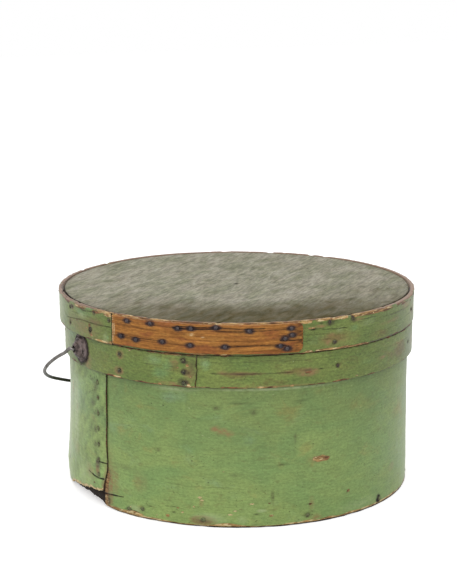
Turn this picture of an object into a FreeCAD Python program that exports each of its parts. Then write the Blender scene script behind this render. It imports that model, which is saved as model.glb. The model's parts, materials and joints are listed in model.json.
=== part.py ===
"""Round bentwood pantry box with a lift-off lid and a swinging wire bail.

Millimetres. +Z is up and the origin is the centre of the base, on the surface that the box stands on.
Angles round the box are in degrees from the front (-Y), growing towards +X, anticlockwise seen from above.
The bail's pivots are on the X axis. The three bent bands (side wall, hoop, lid rim) are strips that overlap
themselves: the strip's thinned start is inside, and its thinned outer end laps over it and is nailed down.
"""
import math
import os

import FreeCAD
import Part
from FreeCAD import Vector

# ---- driving sizes -------------------------------------------------------------------------------
# Side wall
WALL_INNER_RADIUS = 214.6
WALL_THICKNESS = 4.8
WALL_HEIGHT = 240.5
WALL_LAP_END = -78.3        # where the outer end of the strip stops
WALL_LAP_ANGLE = 30.0
BAND_TIP = 2.2              # thickness left at both thinned ends of a strip
BAND_SEAM = 0.3             # gap between the two layers of a lap
LAP_RAMP = 4.0              # angle in which a strip starts to climb over its own start
BASE_BOARD_THICKNESS = 15.0
BOARD_FIT = 0.6             # shrinkage gap round a board

# Broken lower corner at the wall's outer end: knots of an angle back from that end, and a height. The layer's
# break is in the outer layer only, and the edge's break goes through the wall into the base board.
LAYER_BREAK = [(22.5, 0.0), (21.5, 10.4), (16.0, 12.8), (11.4, 16.0), (2.6, 19.5), (-1.0, 21.0)]
EDGE_BREAK = [(33.0, 0.0), (27.0, 4.6), (17.4, 8.7), (11.5, 9.6), (6.1, 7.9), (3.0, 4.7), (0.0, 1.7),
              (-4.0, 0.0)]
BREAK_DEPTH = 24.0          # how far the edge's break reaches in from the wall's outside, into the board

# Lid
LID_BOARD_THICKNESS = 11.5
LID_BOARD_RECESS = 0.6      # below the rim's top edge
RIM_WIDTH = 39.0
RIM_THICKNESS = 5.2
RIM_WALL_CLEARANCE = 1.1    # between the rim and the thickest place of the wall
RIM_LAP_END = -71.4
RIM_LAP_ANGLE = 36.0

# Slat nailed over the split in the lid rim, beside the rim's lap
SLAT_GAP_ANGLE = 0.6
SLAT_ANGLE = 59.2
SLAT_THICKNESS = 4.0
SLAT_EDGE_MARGIN = 2.4      # from the rim's lower edge
SLAT_TOP_MARGIN = 1.2       # from the rim's top edge
SLAT_FIT = 0.1
SLAT_CORNER = 7.0           # round corners at the slat's worn end

# Hoop round the wall under the lid, which carries the bail
HOOP_RIM_GAP = 0.8
HOOP_WIDTH = 40.0
HOOP_THICKNESS = 4.6
HOOP_FIT = 0.15
HOOP_LAP_END = -44.0
HOOP_LAP_ANGLE = 32.0

# Wire bail
WIRE_DIAMETER = 4.4
BOW_CLEARANCE = 25.9        # between the hoop and the wire's centreline, enough for the lid to pass
KNEE_RADIUS = 8.0
BAIL_REST_GAP = 0.3         # wire to wall where the hanging bow leans on it
PIN_PLAY = 0.15             # radial, in iron
PIN_WOOD_PLAY = 0.4         # radial, in wood
HOOK_BEND_RADIUS = 4.0
HOOK_LENGTH = 9.0
HOOK_GAP = 0.5              # between the washer and the bend of the wire's inner end

# Iron that carries the bail
EAR_RADIUS = 18.2
EAR_TOP_MARGIN = 0.1        # from the hoop's top edge
EAR_FIT = 0.1               # under the flange, at the highest place of the hoop
EAR_FLANGE = 4.6            # width of the flat ring round the ear's dome
EAR_SHEET = 1.5
EAR_HEIGHT = 13.5
EAR_SHOULDER = (0.55, 0.62) # where the dome turns over: shares of the dome's radius and of its height
WASHER_RADIUS = 8.0
WASHER_THICKNESS = 1.5
WASHER_FIT = 0.2

# Nails
HEAD_RADIUS = 2.6
HEAD_FACES = 8
HEAD_SHOULDER = (1.7, 0.8)  # radius, height
HEAD_CROWN = (0.6, 1.2)     # radius, height
SHANK_WIDTH = 1.8
SHANK_TIP = 0.7
LONG_SHANK = 24.0
CLINCH_LENGTH = 6.0
CLINCH_THICKNESS = 0.9

# Where the nails are. A back is an angle back from the outer end of the strip that is nailed, and an along
# is an angle forward from it. A level is a share of the thickness of the board that the nail goes into, and
# an up is a height above the lower edge of the band.
WALL_NAIL_BACK = 3.9
WALL_NAIL_BOTTOM = 40.0
WALL_NAIL_TOP_MARGIN = 14.6     # from the hoop
WALL_NAIL_COUNT = 7
BASE_NAILS = [(-68.6, 0.51), (-63.1, 0.8), (-42.2, 0.6), (-9.0, 0.71), (21.7, 0.45)]    # angle, level
BASE_NAIL_FIRST = 53.0
BASE_NAIL_PITCH = 32.5
BASE_NAIL_COUNT = 7
BASE_NAIL_LEVEL = 0.5
HOOP_LAP_NAILS = [(3.8, 32.2), (3.8, 18.2), (3.8, 5.2), (26.1, 30.2), (26.1, 9.7)]      # back, up
HOOP_NAIL_ALONG = 44.4
HOOP_NAIL_PITCH = 40.0
HOOP_NAIL_COUNT = 7
RIM_BOARD_NAILS = [(-23.3, 0.34), (-7.9, 0.65), (-1.2, 0.22), (68.7, 0.68), (77.1, 0.73), (117.6, 0.75)]
RIM_NAIL_ALONG = 136.0
RIM_NAIL_PITCH = 18.0
RIM_NAIL_COUNT = 11
RIM_NAIL_LEVEL = 0.6
RIM_LOW_NAILS = [(-23.3, 11.2), (-9.8, 12.8), (70.5, 9.3), (114.0, 19.4)]               # along, up
SLAT_BOARD_NAILS = [(6.3, 0.57), (14.3, 0.6), (22.9, 0.37), (26.9, 0.45), (34.2, 0.63), (43.8, 0.31),
                    (56.0, 0.43)]                                                       # along, level
SLAT_LOW_NAILS = [(4.0, 13.8), (9.4, 12.5), (18.2, 14.0), (26.7, 12.1), (36.8, 11.5), (52.8, 11.5),
                  (54.8, 8.0), (54.2, 20.1), (56.3, 23.7)]                              # along, up

# ---- places worked out from them -----------------------------------------------------------------
LAP_BUMP = BAND_TIP + BAND_SEAM
WALL_OUTER_RADIUS = WALL_INNER_RADIUS + WALL_THICKNESS
HOOP_INNER_RADIUS = WALL_OUTER_RADIUS + HOOP_FIT
RIM_INNER_RADIUS = WALL_OUTER_RADIUS + LAP_BUMP + RIM_WALL_CLEARANCE
RIM_OUTER_RADIUS = RIM_INNER_RADIUS + RIM_THICKNESS
RIM_TOP = WALL_HEIGHT + LID_BOARD_THICKNESS + LID_BOARD_RECESS
RIM_BOTTOM = RIM_TOP - RIM_WIDTH
HOOP_TOP = RIM_BOTTOM - HOOP_RIM_GAP
HOOP_BOTTOM = HOOP_TOP - HOOP_WIDTH
SLAT_START = RIM_LAP_END + SLAT_GAP_ANGLE
SLAT_END = SLAT_START + SLAT_ANGLE
SLAT_INNER_RADIUS = RIM_OUTER_RADIUS + SLAT_FIT
SLAT_OUTER_RADIUS = SLAT_INNER_RADIUS + SLAT_THICKNESS
WIRE_RADIUS = WIRE_DIAMETER / 2
BOW_RADIUS = HOOP_INNER_RADIUS + HOOP_THICKNESS + BOW_CLEARANCE
BAIL_HANG_ANGLE = math.degrees(math.acos((WALL_OUTER_RADIUS + BAIL_REST_GAP + WIRE_RADIUS) / BOW_RADIUS))
PIVOT_HEIGHT = HOOP_TOP - EAR_TOP_MARGIN - EAR_RADIUS
WASHER_SEAT = math.sqrt(WALL_INNER_RADIUS ** 2 - WASHER_RADIUS ** 2) - WASHER_FIT


# ---- geometry helpers ----------------------------------------------------------------------------
def polar(radius, angle, z=0.0):
    turn = math.radians(angle)
    return Vector(radius * math.sin(turn), -radius * math.cos(turn), z)


def polar_edges(knots):
    """Arcs through (angle, radius) knots. The radius changes evenly along each arc."""
    edges = []
    for (a0, r0), (a1, r1) in zip(knots, knots[1:]):
        middle = polar((r0 + r1) / 2, (a0 + a1) / 2)
        edges.append(Part.Arc(polar(r0, a0), middle, polar(r1, a1)).toShape())
    return edges


def radius_at(knots, angle):
    """Radius of a knotted outline where it passes an angle for the last, outermost, time."""
    while angle + 360 <= knots[-1][0]:
        angle += 360
    for (a0, r0), (a1, r1) in zip(knots, knots[1:]):
        if a0 <= angle <= a1:
            return r0 + (r1 - r0) * (angle - a0) / (a1 - a0)
    return knots[-1][1]


def bent_strip(inner, outer, bottom, top):
    """A strip bent into a ring, from its inside and outside outlines."""
    start = Part.makeLine(polar(inner[0][1], inner[0][0]), polar(outer[0][1], outer[0][0]))
    end = Part.makeLine(polar(inner[-1][1], inner[-1][0]), polar(outer[-1][1], outer[-1][0]))
    wire = Part.Wire(Part.__sortEdges__([start, end] + polar_edges(inner) + polar_edges(outer)))
    strip = Part.Face(wire).extrude(Vector(0, 0, top - bottom))
    strip.translate(Vector(0, 0, bottom))
    return strip


def lapped_outlines(inner_radius, thickness, lap_end, lap_angle, carrier=()):
    """Inside and outside outlines of a strip that laps over itself.

    carrier holds (angle, rise) knots of what the strip is bent round, between its start and its lap.
    """
    start = lap_end - lap_angle
    climb = [] if carrier else [(start + 360 - LAP_RAMP, 0.0)]
    base = [(angle, inner_radius + rise) for angle, rise in list(carrier) + climb]
    inner = [(start, inner_radius)] + base
    inner.append((start + 360, inner_radius + LAP_BUMP))
    inner.append((lap_end + 360, inner_radius + thickness + BAND_SEAM))
    outer = [(start, inner_radius + BAND_TIP), (lap_end, inner_radius + thickness)]
    outer += [(angle, radius + thickness) for angle, radius in base]
    outer.append((lap_end + 360, inner_radius + thickness + LAP_BUMP))
    return inner, outer


def disc(radius, thickness, bottom):
    return Part.makeCylinder(radius, thickness, Vector(0, 0, bottom))


def revolved(profile, axis_point, axis):
    """A ring from a closed list of edges in the X-Z plane."""
    return Part.Face(Part.Wire(Part.__sortEdges__(profile))).revolve(axis_point, axis, 360)


def outward(shape, radius, angle, height):
    """Turns a shape made along +X to point out of the box at that place."""
    placed = shape.copy()
    place = FreeCAD.Placement(polar(radius, angle, height), FreeCAD.Rotation(Vector(0, 0, 1), angle - 90))
    placed.Placement = place
    return placed


# ---- nails ---------------------------------------------------------------------------------------
def section_at(x, radius, faces):
    """Outline of a nail's head or shank at a place along it, with a flat side up."""
    turns = [2 * math.pi * (i + 0.5) / faces for i in range(faces)]
    corners = [Vector(x, radius * math.sin(turn), radius * math.cos(turn)) for turn in turns]
    return Part.makePolygon(corners + corners[:1])


def nail_head():
    """Hammered head, faceted in two tiers."""
    (shoulder_radius, shoulder_height), (crown_radius, crown_height) = HEAD_SHOULDER, HEAD_CROWN
    tiers = [section_at(0, HEAD_RADIUS, HEAD_FACES),
             section_at(shoulder_height, shoulder_radius, HEAD_FACES),
             section_at(crown_height, crown_radius, HEAD_FACES)]
    return Part.makeLoft(tiers, True, True)


def nail_shank(length, tip_width):
    corner = math.sqrt(0.5)
    return Part.makeLoft([section_at(0, SHANK_WIDTH * corner, 4), section_at(-length, tip_width * corner, 4)],
                         True, True)


def long_nail():
    """A cut nail driven into the edge of a board."""
    return nail_head().fuse(nail_shank(LONG_SHANK, SHANK_TIP))


def through_nail(grip):
    """A nail through wood of thickness grip, with its point cut off flush inside."""
    return nail_head().fuse(nail_shank(grip, SHANK_WIDTH))


def clinched_nail(grip):
    """A nail through wood of thickness grip, with its point bent over and flattened inside."""
    half = SHANK_WIDTH / 2
    point = Part.makeBox(CLINCH_THICKNESS, SHANK_WIDTH, CLINCH_LENGTH,
                         Vector(-grip - CLINCH_THICKNESS, -half, half - CLINCH_LENGTH))
    return through_nail(grip).fuse(point).removeSplitter()


# ---- bands ---------------------------------------------------------------------------------------
WALL_INSIDE, WALL_OUTSIDE = lapped_outlines(WALL_INNER_RADIUS, WALL_THICKNESS, WALL_LAP_END, WALL_LAP_ANGLE)
WALL_LAP_START = WALL_LAP_END - WALL_LAP_ANGLE
HOOP_INSIDE, HOOP_OUTSIDE = lapped_outlines(
    HOOP_INNER_RADIUS, HOOP_THICKNESS, HOOP_LAP_END, HOOP_LAP_ANGLE,
    carrier=[(WALL_LAP_START + 360 - LAP_RAMP, 0.0), (WALL_LAP_END + 360, LAP_BUMP)])
RIM_INSIDE, RIM_OUTSIDE = lapped_outlines(RIM_INNER_RADIUS, RIM_THICKNESS, RIM_LAP_END, RIM_LAP_ANGLE)


def under_break(outline):
    """Everything under a broken outline, from BREAK_DEPTH inside the wall to well outside it."""
    middle = WALL_LAP_END - (outline[0][0] + outline[-1][0]) / 2
    along, out = polar(1, middle + 90), polar(1, middle)
    corners = [along * (WALL_OUTER_RADIUS * math.sin(math.radians(WALL_LAP_END - back - middle)))
               + Vector(0, 0, height) for back, height in outline]
    below = [corner - Vector(0, 0, corner.z + WALL_THICKNESS) for corner in (corners[-1], corners[0])]
    away = Part.Face(Part.makePolygon(corners + below + corners[:1])).extrude(out * (2 * BREAK_DEPTH))
    away.translate(out * (WALL_OUTER_RADIUS - BREAK_DEPTH))
    return away


def layer_break():
    """The piece missing from the lower corner of the wall strip's outer end, in the outer layer only."""
    end = WALL_LAP_END + 360
    angles = [end - back for back in (LAYER_BREAK[0][0], 0, LAYER_BREAK[-1][0])]
    under = [(angle, radius_at(WALL_INSIDE, min(angle, end)) - BAND_SEAM / 2) for angle in angles]
    over = [(angle, radius + 2 * WALL_THICKNESS) for angle, radius in under]
    return bent_strip(under, over, -WALL_THICKNESS, WALL_HEIGHT / 2).common(under_break(LAYER_BREAK))


def side_wall():
    return bent_strip(WALL_INSIDE, WALL_OUTSIDE, 0, WALL_HEIGHT).cut([layer_break(), under_break(EDGE_BREAK)])


def top_hoop():
    return bent_strip(HOOP_INSIDE, HOOP_OUTSIDE, HOOP_BOTTOM, HOOP_TOP)


def lid_rim():
    return bent_strip(RIM_INSIDE, RIM_OUTSIDE, RIM_BOTTOM, RIM_TOP)


def rim_slat():
    slat = bent_strip([(SLAT_START, SLAT_INNER_RADIUS), (SLAT_END, SLAT_INNER_RADIUS)],
                      [(SLAT_START, SLAT_OUTER_RADIUS), (SLAT_END, SLAT_OUTER_RADIUS)],
                      RIM_BOTTOM + SLAT_EDGE_MARGIN, RIM_TOP - SLAT_TOP_MARGIN)
    worn_end = polar(SLAT_OUTER_RADIUS, SLAT_END)
    corners = [edge for edge in slat.Edges if edge.Length < 2 * SLAT_THICKNESS and above(edge, worn_end)]
    return slat.makeFillet(SLAT_CORNER, corners)


def above(edge, point):
    middle = edge.CenterOfMass
    return math.hypot(middle.x - point.x, middle.y - point.y) < SLAT_THICKNESS


# ---- iron ----------------------------------------------------------------------------------------
def ear_plate():
    """Dished iron disc with a hole for the wire, made along +X with its flange on X = 0."""
    hole = WIRE_RADIUS + PIN_PLAY
    dome = EAR_RADIUS - EAR_FLANGE
    rim, sheet, top = Vector(0, 0, EAR_RADIUS), Vector(EAR_SHEET, 0, 0), Vector(EAR_HEIGHT, 0, hole)
    foot = Vector(EAR_SHEET, 0, dome)
    shoulder = Vector(EAR_HEIGHT * EAR_SHOULDER[1], 0, dome * EAR_SHOULDER[0])
    inner_foot = Vector(0, 0, dome - EAR_SHEET)
    profile = [Part.makeLine(rim, rim + sheet),
               Part.makeLine(rim + sheet, foot),
               Part.Arc(foot, shoulder, top).toShape(),
               Part.makeLine(top, top - sheet),
               Part.Arc(top - sheet, shoulder - sheet, inner_foot).toShape(),
               Part.makeLine(inner_foot, rim)]
    return revolved(profile, Vector(0, 0, 0), Vector(1, 0, 0))


def washer():
    """Small iron washer behind the wall, made along +X with its outer face on X = 0."""
    blank = Part.makeCylinder(WASHER_RADIUS, WASHER_THICKNESS, Vector(0, 0, 0), Vector(-1, 0, 0))
    hole = Part.makeCylinder(WIRE_RADIUS + PIN_PLAY, WASHER_THICKNESS, Vector(0, 0, 0), Vector(-1, 0, 0))
    return blank.cut(hole)


def bail_half(side):
    """Centreline of one end of the wire, from its hook inside the box to the bow, in the X-Y plane."""
    bend_x = WASHER_SEAT - WASHER_THICKNESS - HOOK_GAP
    hook_x = bend_x - HOOK_BEND_RADIUS
    knee_x = math.sqrt((BOW_RADIUS - KNEE_RADIUS) ** 2 - KNEE_RADIUS ** 2)
    reach = BOW_RADIUS / (BOW_RADIUS - KNEE_RADIUS)
    knee_mid = math.radians(-45 + math.degrees(math.atan2(KNEE_RADIUS, knee_x)) / 2)
    quarter = HOOK_BEND_RADIUS * math.sqrt(0.5)
    hook = [Vector(hook_x, HOOK_BEND_RADIUS + HOOK_LENGTH, 0), Vector(hook_x, HOOK_BEND_RADIUS, 0)]
    bend = Vector(hook_x + HOOK_BEND_RADIUS - quarter, HOOK_BEND_RADIUS - quarter, 0)
    pin = [Vector(bend_x, 0, 0), Vector(knee_x, 0, 0)]
    knee = Vector(knee_x + KNEE_RADIUS * math.cos(knee_mid), KNEE_RADIUS * (1 + math.sin(knee_mid)), 0)
    bow = Vector(knee_x * reach, KNEE_RADIUS * reach, 0)
    hook, pin = [[Vector(side * v.x, v.y, 0) for v in points] for points in (hook, pin)]
    bend, knee, bow = [Vector(side * v.x, v.y, 0) for v in (bend, knee, bow)]
    edges = [Part.makeLine(hook[0], hook[1]),
             Part.Arc(hook[1], bend, pin[0]).toShape(),
             Part.makeLine(pin[0], pin[1]),
             Part.Arc(pin[1], knee, bow).toShape()]
    return edges, hook[0], bow


def wire_bail():
    """The wire, hanging at the back with the middle of its bow against the wall."""
    left, start, left_bow = bail_half(-1)
    right, _, right_bow = bail_half(1)
    bow = Part.Arc(left_bow, Vector(0, BOW_RADIUS, 0), right_bow).toShape()
    path = Part.Wire(left + [bow] + right[::-1])
    section = Part.Wire(Part.makeCircle(WIRE_RADIUS, start, Vector(0, 1, 0)))
    wire = path.makePipeShell([section], True, False)
    wire.rotate(Vector(0, 0, 0), Vector(1, 0, 0), -BAIL_HANG_ANGLE)
    wire.translate(Vector(0, 0, PIVOT_HEIGHT))
    return wire


def pin_holes():
    """Clearance for the wire's ends through the hoop and the wall."""
    reach = 2 * BOW_RADIUS
    return Part.makeCylinder(WIRE_RADIUS + PIN_WOOD_PLAY, reach, Vector(-reach / 2, 0, PIVOT_HEIGHT),
                             Vector(1, 0, 0))


# ---- nail groups ---------------------------------------------------------------------------------
def side_lap_nails():
    angle = WALL_LAP_END - WALL_NAIL_BACK
    seat = radius_at(WALL_OUTSIDE, angle)
    nail = clinched_nail(seat - WALL_INNER_RADIUS)
    pitch = (HOOP_BOTTOM - WALL_NAIL_TOP_MARGIN - WALL_NAIL_BOTTOM) / (WALL_NAIL_COUNT - 1)
    return [outward(nail, seat, angle, WALL_NAIL_BOTTOM + pitch * i) for i in range(WALL_NAIL_COUNT)]


def base_nails():
    places = list(BASE_NAILS)
    places += [(BASE_NAIL_FIRST + BASE_NAIL_PITCH * i, BASE_NAIL_LEVEL) for i in range(BASE_NAIL_COUNT)]
    nail = long_nail()
    return [outward(nail, radius_at(WALL_OUTSIDE, angle), angle, BASE_BOARD_THICKNESS * level)
            for angle, level in places]


def hoop_nail(angle, up):
    seat = radius_at(HOOP_OUTSIDE, angle)
    return outward(clinched_nail(seat - WALL_INNER_RADIUS), seat, angle, HOOP_BOTTOM + up)


def hoop_lap_nails():
    return [hoop_nail(HOOP_LAP_END - back, up) for back, up in HOOP_LAP_NAILS]


def hoop_nails():
    first = HOOP_LAP_END + HOOP_NAIL_ALONG
    return [hoop_nail(first + HOOP_NAIL_PITCH * i, HOOP_WIDTH / 2) for i in range(HOOP_NAIL_COUNT)]


def rim_board_nails():
    """Nails through the rim into the edge of the lid's board."""
    places = list(RIM_BOARD_NAILS)
    places += [(RIM_NAIL_ALONG + RIM_NAIL_PITCH * i, RIM_NAIL_LEVEL) for i in range(RIM_NAIL_COUNT)]
    nail = long_nail()
    return [outward(nail, radius_at(RIM_OUTSIDE, RIM_LAP_END + along), RIM_LAP_END + along,
                    WALL_HEIGHT + LID_BOARD_THICKNESS * level) for along, level in places]


def rim_low_nails():
    nails = []
    for along, up in RIM_LOW_NAILS:
        seat = radius_at(RIM_OUTSIDE, RIM_LAP_END + along)
        nail = through_nail(seat - RIM_INNER_RADIUS)
        nails.append(outward(nail, seat, RIM_LAP_END + along, RIM_BOTTOM + up))
    return nails


def slat_board_nails():
    nail = long_nail()
    return [outward(nail, SLAT_OUTER_RADIUS, RIM_LAP_END + along, WALL_HEIGHT + LID_BOARD_THICKNESS * level)
            for along, level in SLAT_BOARD_NAILS]


def slat_rim_nails():
    nail = through_nail(SLAT_OUTER_RADIUS - RIM_INNER_RADIUS)
    return [outward(nail, SLAT_OUTER_RADIUS, RIM_LAP_END + along, RIM_BOTTOM + up)
            for along, up in SLAT_LOW_NAILS]


# ---- assembly ------------------------------------------------------------------------------------
def build():
    nails = {"side_lap_nails": side_lap_nails(), "base_nails": base_nails(),
             "hoop_lap_nails": hoop_lap_nails(), "hoop_nails": hoop_nails(),
             "rim_board_nails": rim_board_nails(), "rim_low_nails": rim_low_nails(),
             "slat_board_nails": slat_board_nails(), "slat_rim_nails": slat_rim_nails()}
    hoop_fixings = nails["hoop_lap_nails"] + nails["hoop_nails"]
    slat_fixings = nails["slat_board_nails"] + nails["slat_rim_nails"]
    board_fixings = nails["rim_board_nails"] + nails["slat_board_nails"]
    wall_fixings = nails["side_lap_nails"] + nails["base_nails"] + hoop_fixings
    holes = [pin_holes()]
    base_disc = disc(WALL_INNER_RADIUS - BOARD_FIT, BASE_BOARD_THICKNESS, 0)
    lid_disc = disc(RIM_INNER_RADIUS - BOARD_FIT, LID_BOARD_THICKNESS, WALL_HEIGHT)
    parts = {
        "side_wall": side_wall().cut(wall_fixings + holes),
        "base_board": base_disc.cut(nails["base_nails"] + [under_break(EDGE_BREAK)]),
        "top_hoop": top_hoop().cut(hoop_fixings + holes),
        "lid_rim": lid_rim().cut(nails["rim_board_nails"] + nails["rim_low_nails"] + slat_fixings),
        "lid_board": lid_disc.cut(board_fixings),
        "rim_slat": rim_slat().cut(slat_fixings),
        "wire_bail": wire_bail(),
    }
    for side, angle in (("left", -90), ("right", 90)):
        seat = radius_at(HOOP_OUTSIDE, angle) + EAR_FIT
        parts["ear_plate_" + side] = outward(ear_plate(), seat, angle, PIVOT_HEIGHT)
        parts["ear_washer_" + side] = outward(washer(), WASHER_SEAT, angle, PIVOT_HEIGHT)
    parts.update({name: Part.makeCompound(group) for name, group in nails.items()})
    return parts


def main():
    os.makedirs("parts", exist_ok=True)
    for name, shape in build().items():
        shape.exportStep(os.path.join("parts", name + ".step"))
        state = "valid" if shape.isValid() else "INVALID"
        print(name, len(shape.Solids), "solids", round(shape.Volume), "mm3", state)
    print("bail hangs", round(BAIL_HANG_ANGLE, 2), "degrees below level")


main()
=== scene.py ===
import json
import math

import bmesh
import bpy
import numpy as np
from mathutils import Matrix, Vector


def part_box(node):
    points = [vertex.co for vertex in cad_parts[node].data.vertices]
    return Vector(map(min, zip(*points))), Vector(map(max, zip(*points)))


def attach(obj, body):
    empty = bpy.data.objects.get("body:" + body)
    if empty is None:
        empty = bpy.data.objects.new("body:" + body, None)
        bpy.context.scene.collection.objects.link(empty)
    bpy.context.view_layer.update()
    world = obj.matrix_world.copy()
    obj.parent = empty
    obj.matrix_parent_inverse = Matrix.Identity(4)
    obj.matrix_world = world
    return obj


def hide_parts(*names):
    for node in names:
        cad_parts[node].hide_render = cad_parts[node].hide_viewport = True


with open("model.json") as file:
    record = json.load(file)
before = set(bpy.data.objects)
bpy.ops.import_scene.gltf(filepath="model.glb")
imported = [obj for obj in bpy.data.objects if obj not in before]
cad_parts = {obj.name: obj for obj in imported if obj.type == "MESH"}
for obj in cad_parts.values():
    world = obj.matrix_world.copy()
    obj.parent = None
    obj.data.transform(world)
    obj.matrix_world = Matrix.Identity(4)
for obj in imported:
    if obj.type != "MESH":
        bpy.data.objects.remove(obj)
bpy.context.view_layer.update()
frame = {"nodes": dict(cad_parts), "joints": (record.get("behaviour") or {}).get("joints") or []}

# A round bentwood pantry box in worn green paint: wall, hoop and lid rim are strips of thin wood, each bent
# round and nailed where it overlaps itself. Metres; bearings in degrees from the front (-Y) towards +X.

MM = 0.001

# ---- places taken from the frame -------------------------------------------------------------------
WALL_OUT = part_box("side_wall")[1][0]
WALL_LOW, WALL_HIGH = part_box("side_wall")[0][2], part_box("side_wall")[1][2]
HOOP_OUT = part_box("top_hoop")[1][0]
HOOP_LOW, HOOP_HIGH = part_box("top_hoop")[0][2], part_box("top_hoop")[1][2]
RIM_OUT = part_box("lid_rim")[1][0]
RIM_LOW, RIM_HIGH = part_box("lid_rim")[0][2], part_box("lid_rim")[1][2]
SLAT_LOW, SLAT_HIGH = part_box("rim_slat")[0][2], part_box("rim_slat")[1][2]
BOARD_LOW, BOARD_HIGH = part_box("lid_board")[0][2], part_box("lid_board")[1][2]
BOARD_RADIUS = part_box("lid_board")[1][0]
BASE_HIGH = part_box("base_board")[1][2]
BASE_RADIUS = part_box("base_board")[1][0]
BAIL_JOINT = next(joint for joint in frame["joints"] if joint["name"] == "bail_swing")
PIVOT_HIGH = BAIL_JOINT["pos_m"][2]
EAR_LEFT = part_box("ear_plate_left")
EAR_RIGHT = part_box("ear_plate_right")

# ---- sizes that the frame's boxes don't give --------------------------------------------------------
TIP = 2.2 * MM                  # thickness of a strip's thinned ends
SEAM = 0.3 * MM                 # gap between the layers of a lap
BUMP = TIP + SEAM
RAMP = 4.0                      # angle in which a strip climbs over its own start
NEARLY_ROUND = 359.9            # a full turn, a little short so that a lap's first column counts as lap
FEATHER = 3                     # angle in which the outer ends of wall and hoop are thinned
END_REACH = 4.0                 # angle in which the wave of a strip's outer end dies out
INNER_ROWS = 8
WORN_END = (1.2, 0.6, 0.9)      # bare, dark and tone of the end faces of wall and hoop
WALL_THICK, WALL_LAP_END, WALL_LAP = 4.8 * MM, -78.3, 30.0
HOOP_THICK, HOOP_LAP_END, HOOP_LAP = 4.6 * MM, -44.0, 32.0
RIM_THICK, RIM_LAP_END, RIM_LAP = 5.2 * MM, -71.4, 36.0
SLAT_THICK, SLAT_GAP, SLAT_START, SLAT_END = 4.0 * MM, 0.1 * MM, -70.8, -11.6
WIRE = 2.2 * MM
KNEE, HOOK_BEND, HOOK_LENGTH = 4.0 * MM, 4.0 * MM, 9.0 * MM
WASHER_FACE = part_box("ear_washer_right")[0][0]
HOOK_GAP = 0.5 * MM
NAIL_HIGH = 1.2 * MM
HEAD_RADIUS = 2.5 * MM
# (share of the radius, rise in mm) of a nail head from its edge to its crown
HEAD_TIERS = [(1.0, -0.3), (1.0, 0.0), (0.97, 0.34), (0.66, 0.82), (0.28, 1.1)]
SHANK, POINT = 0.9, 0.35        # half widths of a nail's shank, in mm
LONG_NAIL = 15 * MM             # nails longer than this are drawn out to a point
DENT = (5 * MM, 5 * MM)         # reach of the dent round a nail
TORN_REACH = 26.5               # angle of the wall's outer layer with a torn lower edge
EAR_SHADOW = (21.5 * MM, 21.5 * MM)
SLAT_CORNER = 7 * MM
LID_SHIFT = Vector((-1.97, 1.18, 0)) * MM       # the loose lid doesn't sit quite in the middle

# ---- camera and light --------------------------------------------------------------------------------
CAMERA_PLACE = (-1.05466, -1.7306, 0.6718)
CAMERA_TURN = (78.25, 0.0, -31.0)
CAMERA_LENS = 100.99
CAMERA_SENSOR = 36.0
WORLD_LIGHT, FLOOR_GLOW = 0.65, 0.5
KEY_PLACE, KEY_TARGET, KEY_SIZE, KEY_LIGHT = (-2.4, -2.6, 2.6), (0, 0, 0.1), 2.4, 47
TOP_PLACE, TOP_TARGET, TOP_SIZE, TOP_LIGHT = (0.2, 0.4, 3.2), (0, 0, 0.2), 3.0, 22
FLOOR_SIZE, FLOOR_HIGH = 16, -0.0002


def rgb(red, green, blue):
    """A linear colour from 0-255 display values."""
    def linear(value):
        share = value / 255
        return share / 12.92 if share <= 0.04045 else ((share + 0.055) / 1.055) ** 2.4
    return linear(red), linear(green), linear(blue), 1.0


# ---- fields over a strip -----------------------------------------------------------------------------
# The lists of places below are given one by one. A spot is (bearing, height, half length, half height,
# strength) and a line is (width, strength, [(bearing, height), ...]), in degrees and millimetres.
def unit(value):
    """The value, held between 0 and 1."""
    return np.clip(value, 0, 1)


def wrapped(angle):
    """The same direction as an angle from -180 up to 180 degrees."""
    return (angle + 180) % 360 - 180


def arc_at(angle, radius):
    """Length along a circle from the front to a bearing."""
    return np.radians(angle) * radius


def blank(angle, high):
    """A zero at every point where the two are given."""
    return np.zeros(np.broadcast(angle, high).shape)


def ripples(seed, u, v, scale_u, scale_v, waves=28):
    """A smooth random field of unit spread over u and v, with features about as large as the scales."""
    draw = np.random.default_rng(seed)
    total = 0.0
    for _ in range(waves):
        along, across = draw.normal(0, 0.45, 2)
        phase = draw.uniform(0, 2 * math.pi)
        total = total + np.sin(2 * math.pi * (along * u / scale_u + across * v / scale_v) + phase)
    return total / math.sqrt(waves / 2)


def waver(seed, u, scale):
    """ripples in one direction only."""
    return ripples(seed, u, 0 * u, scale, 1)


def spot(along, up, centre, size):
    """1 in the middle of an ellipse and 0 from its edge on. All in metres."""
    distance = np.hypot((along - centre[0]) / size[0], (up - centre[1]) / size[1])
    return unit(1 - distance)


def features(angle, high, radius, places, spread=1.5):
    """Largest strength of the elliptical spots in places, with their sizes times the spread."""
    along = arc_at(wrapped(angle), radius)
    best = blank(angle, high)
    for bearing, up, half, tall, strength in places:
        centre = (math.radians(bearing) * radius, up * MM)
        size = (half * MM * spread, tall * MM * spread)
        best = np.maximum(best, strength * spot(along, high, centre, size))
    return best


def stains(angle, high, radius, places):
    """Like features, with a flat middle."""
    return np.clip(1.6 * features(angle, high, radius, places), 0, 0.75)


def lines(angle, high, radius, places):
    """Largest closeness to the thin lines in places, times their strength."""
    along = arc_at(wrapped(angle), radius)
    best = blank(angle, high)
    for width, strength, points in places:
        chain = [(math.radians(a) * radius, z * MM) for a, z in points]
        near = unit(1 - line_distance(along, high, chain) / (width * MM))
        best = np.maximum(best, strength * near)
    return best


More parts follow.
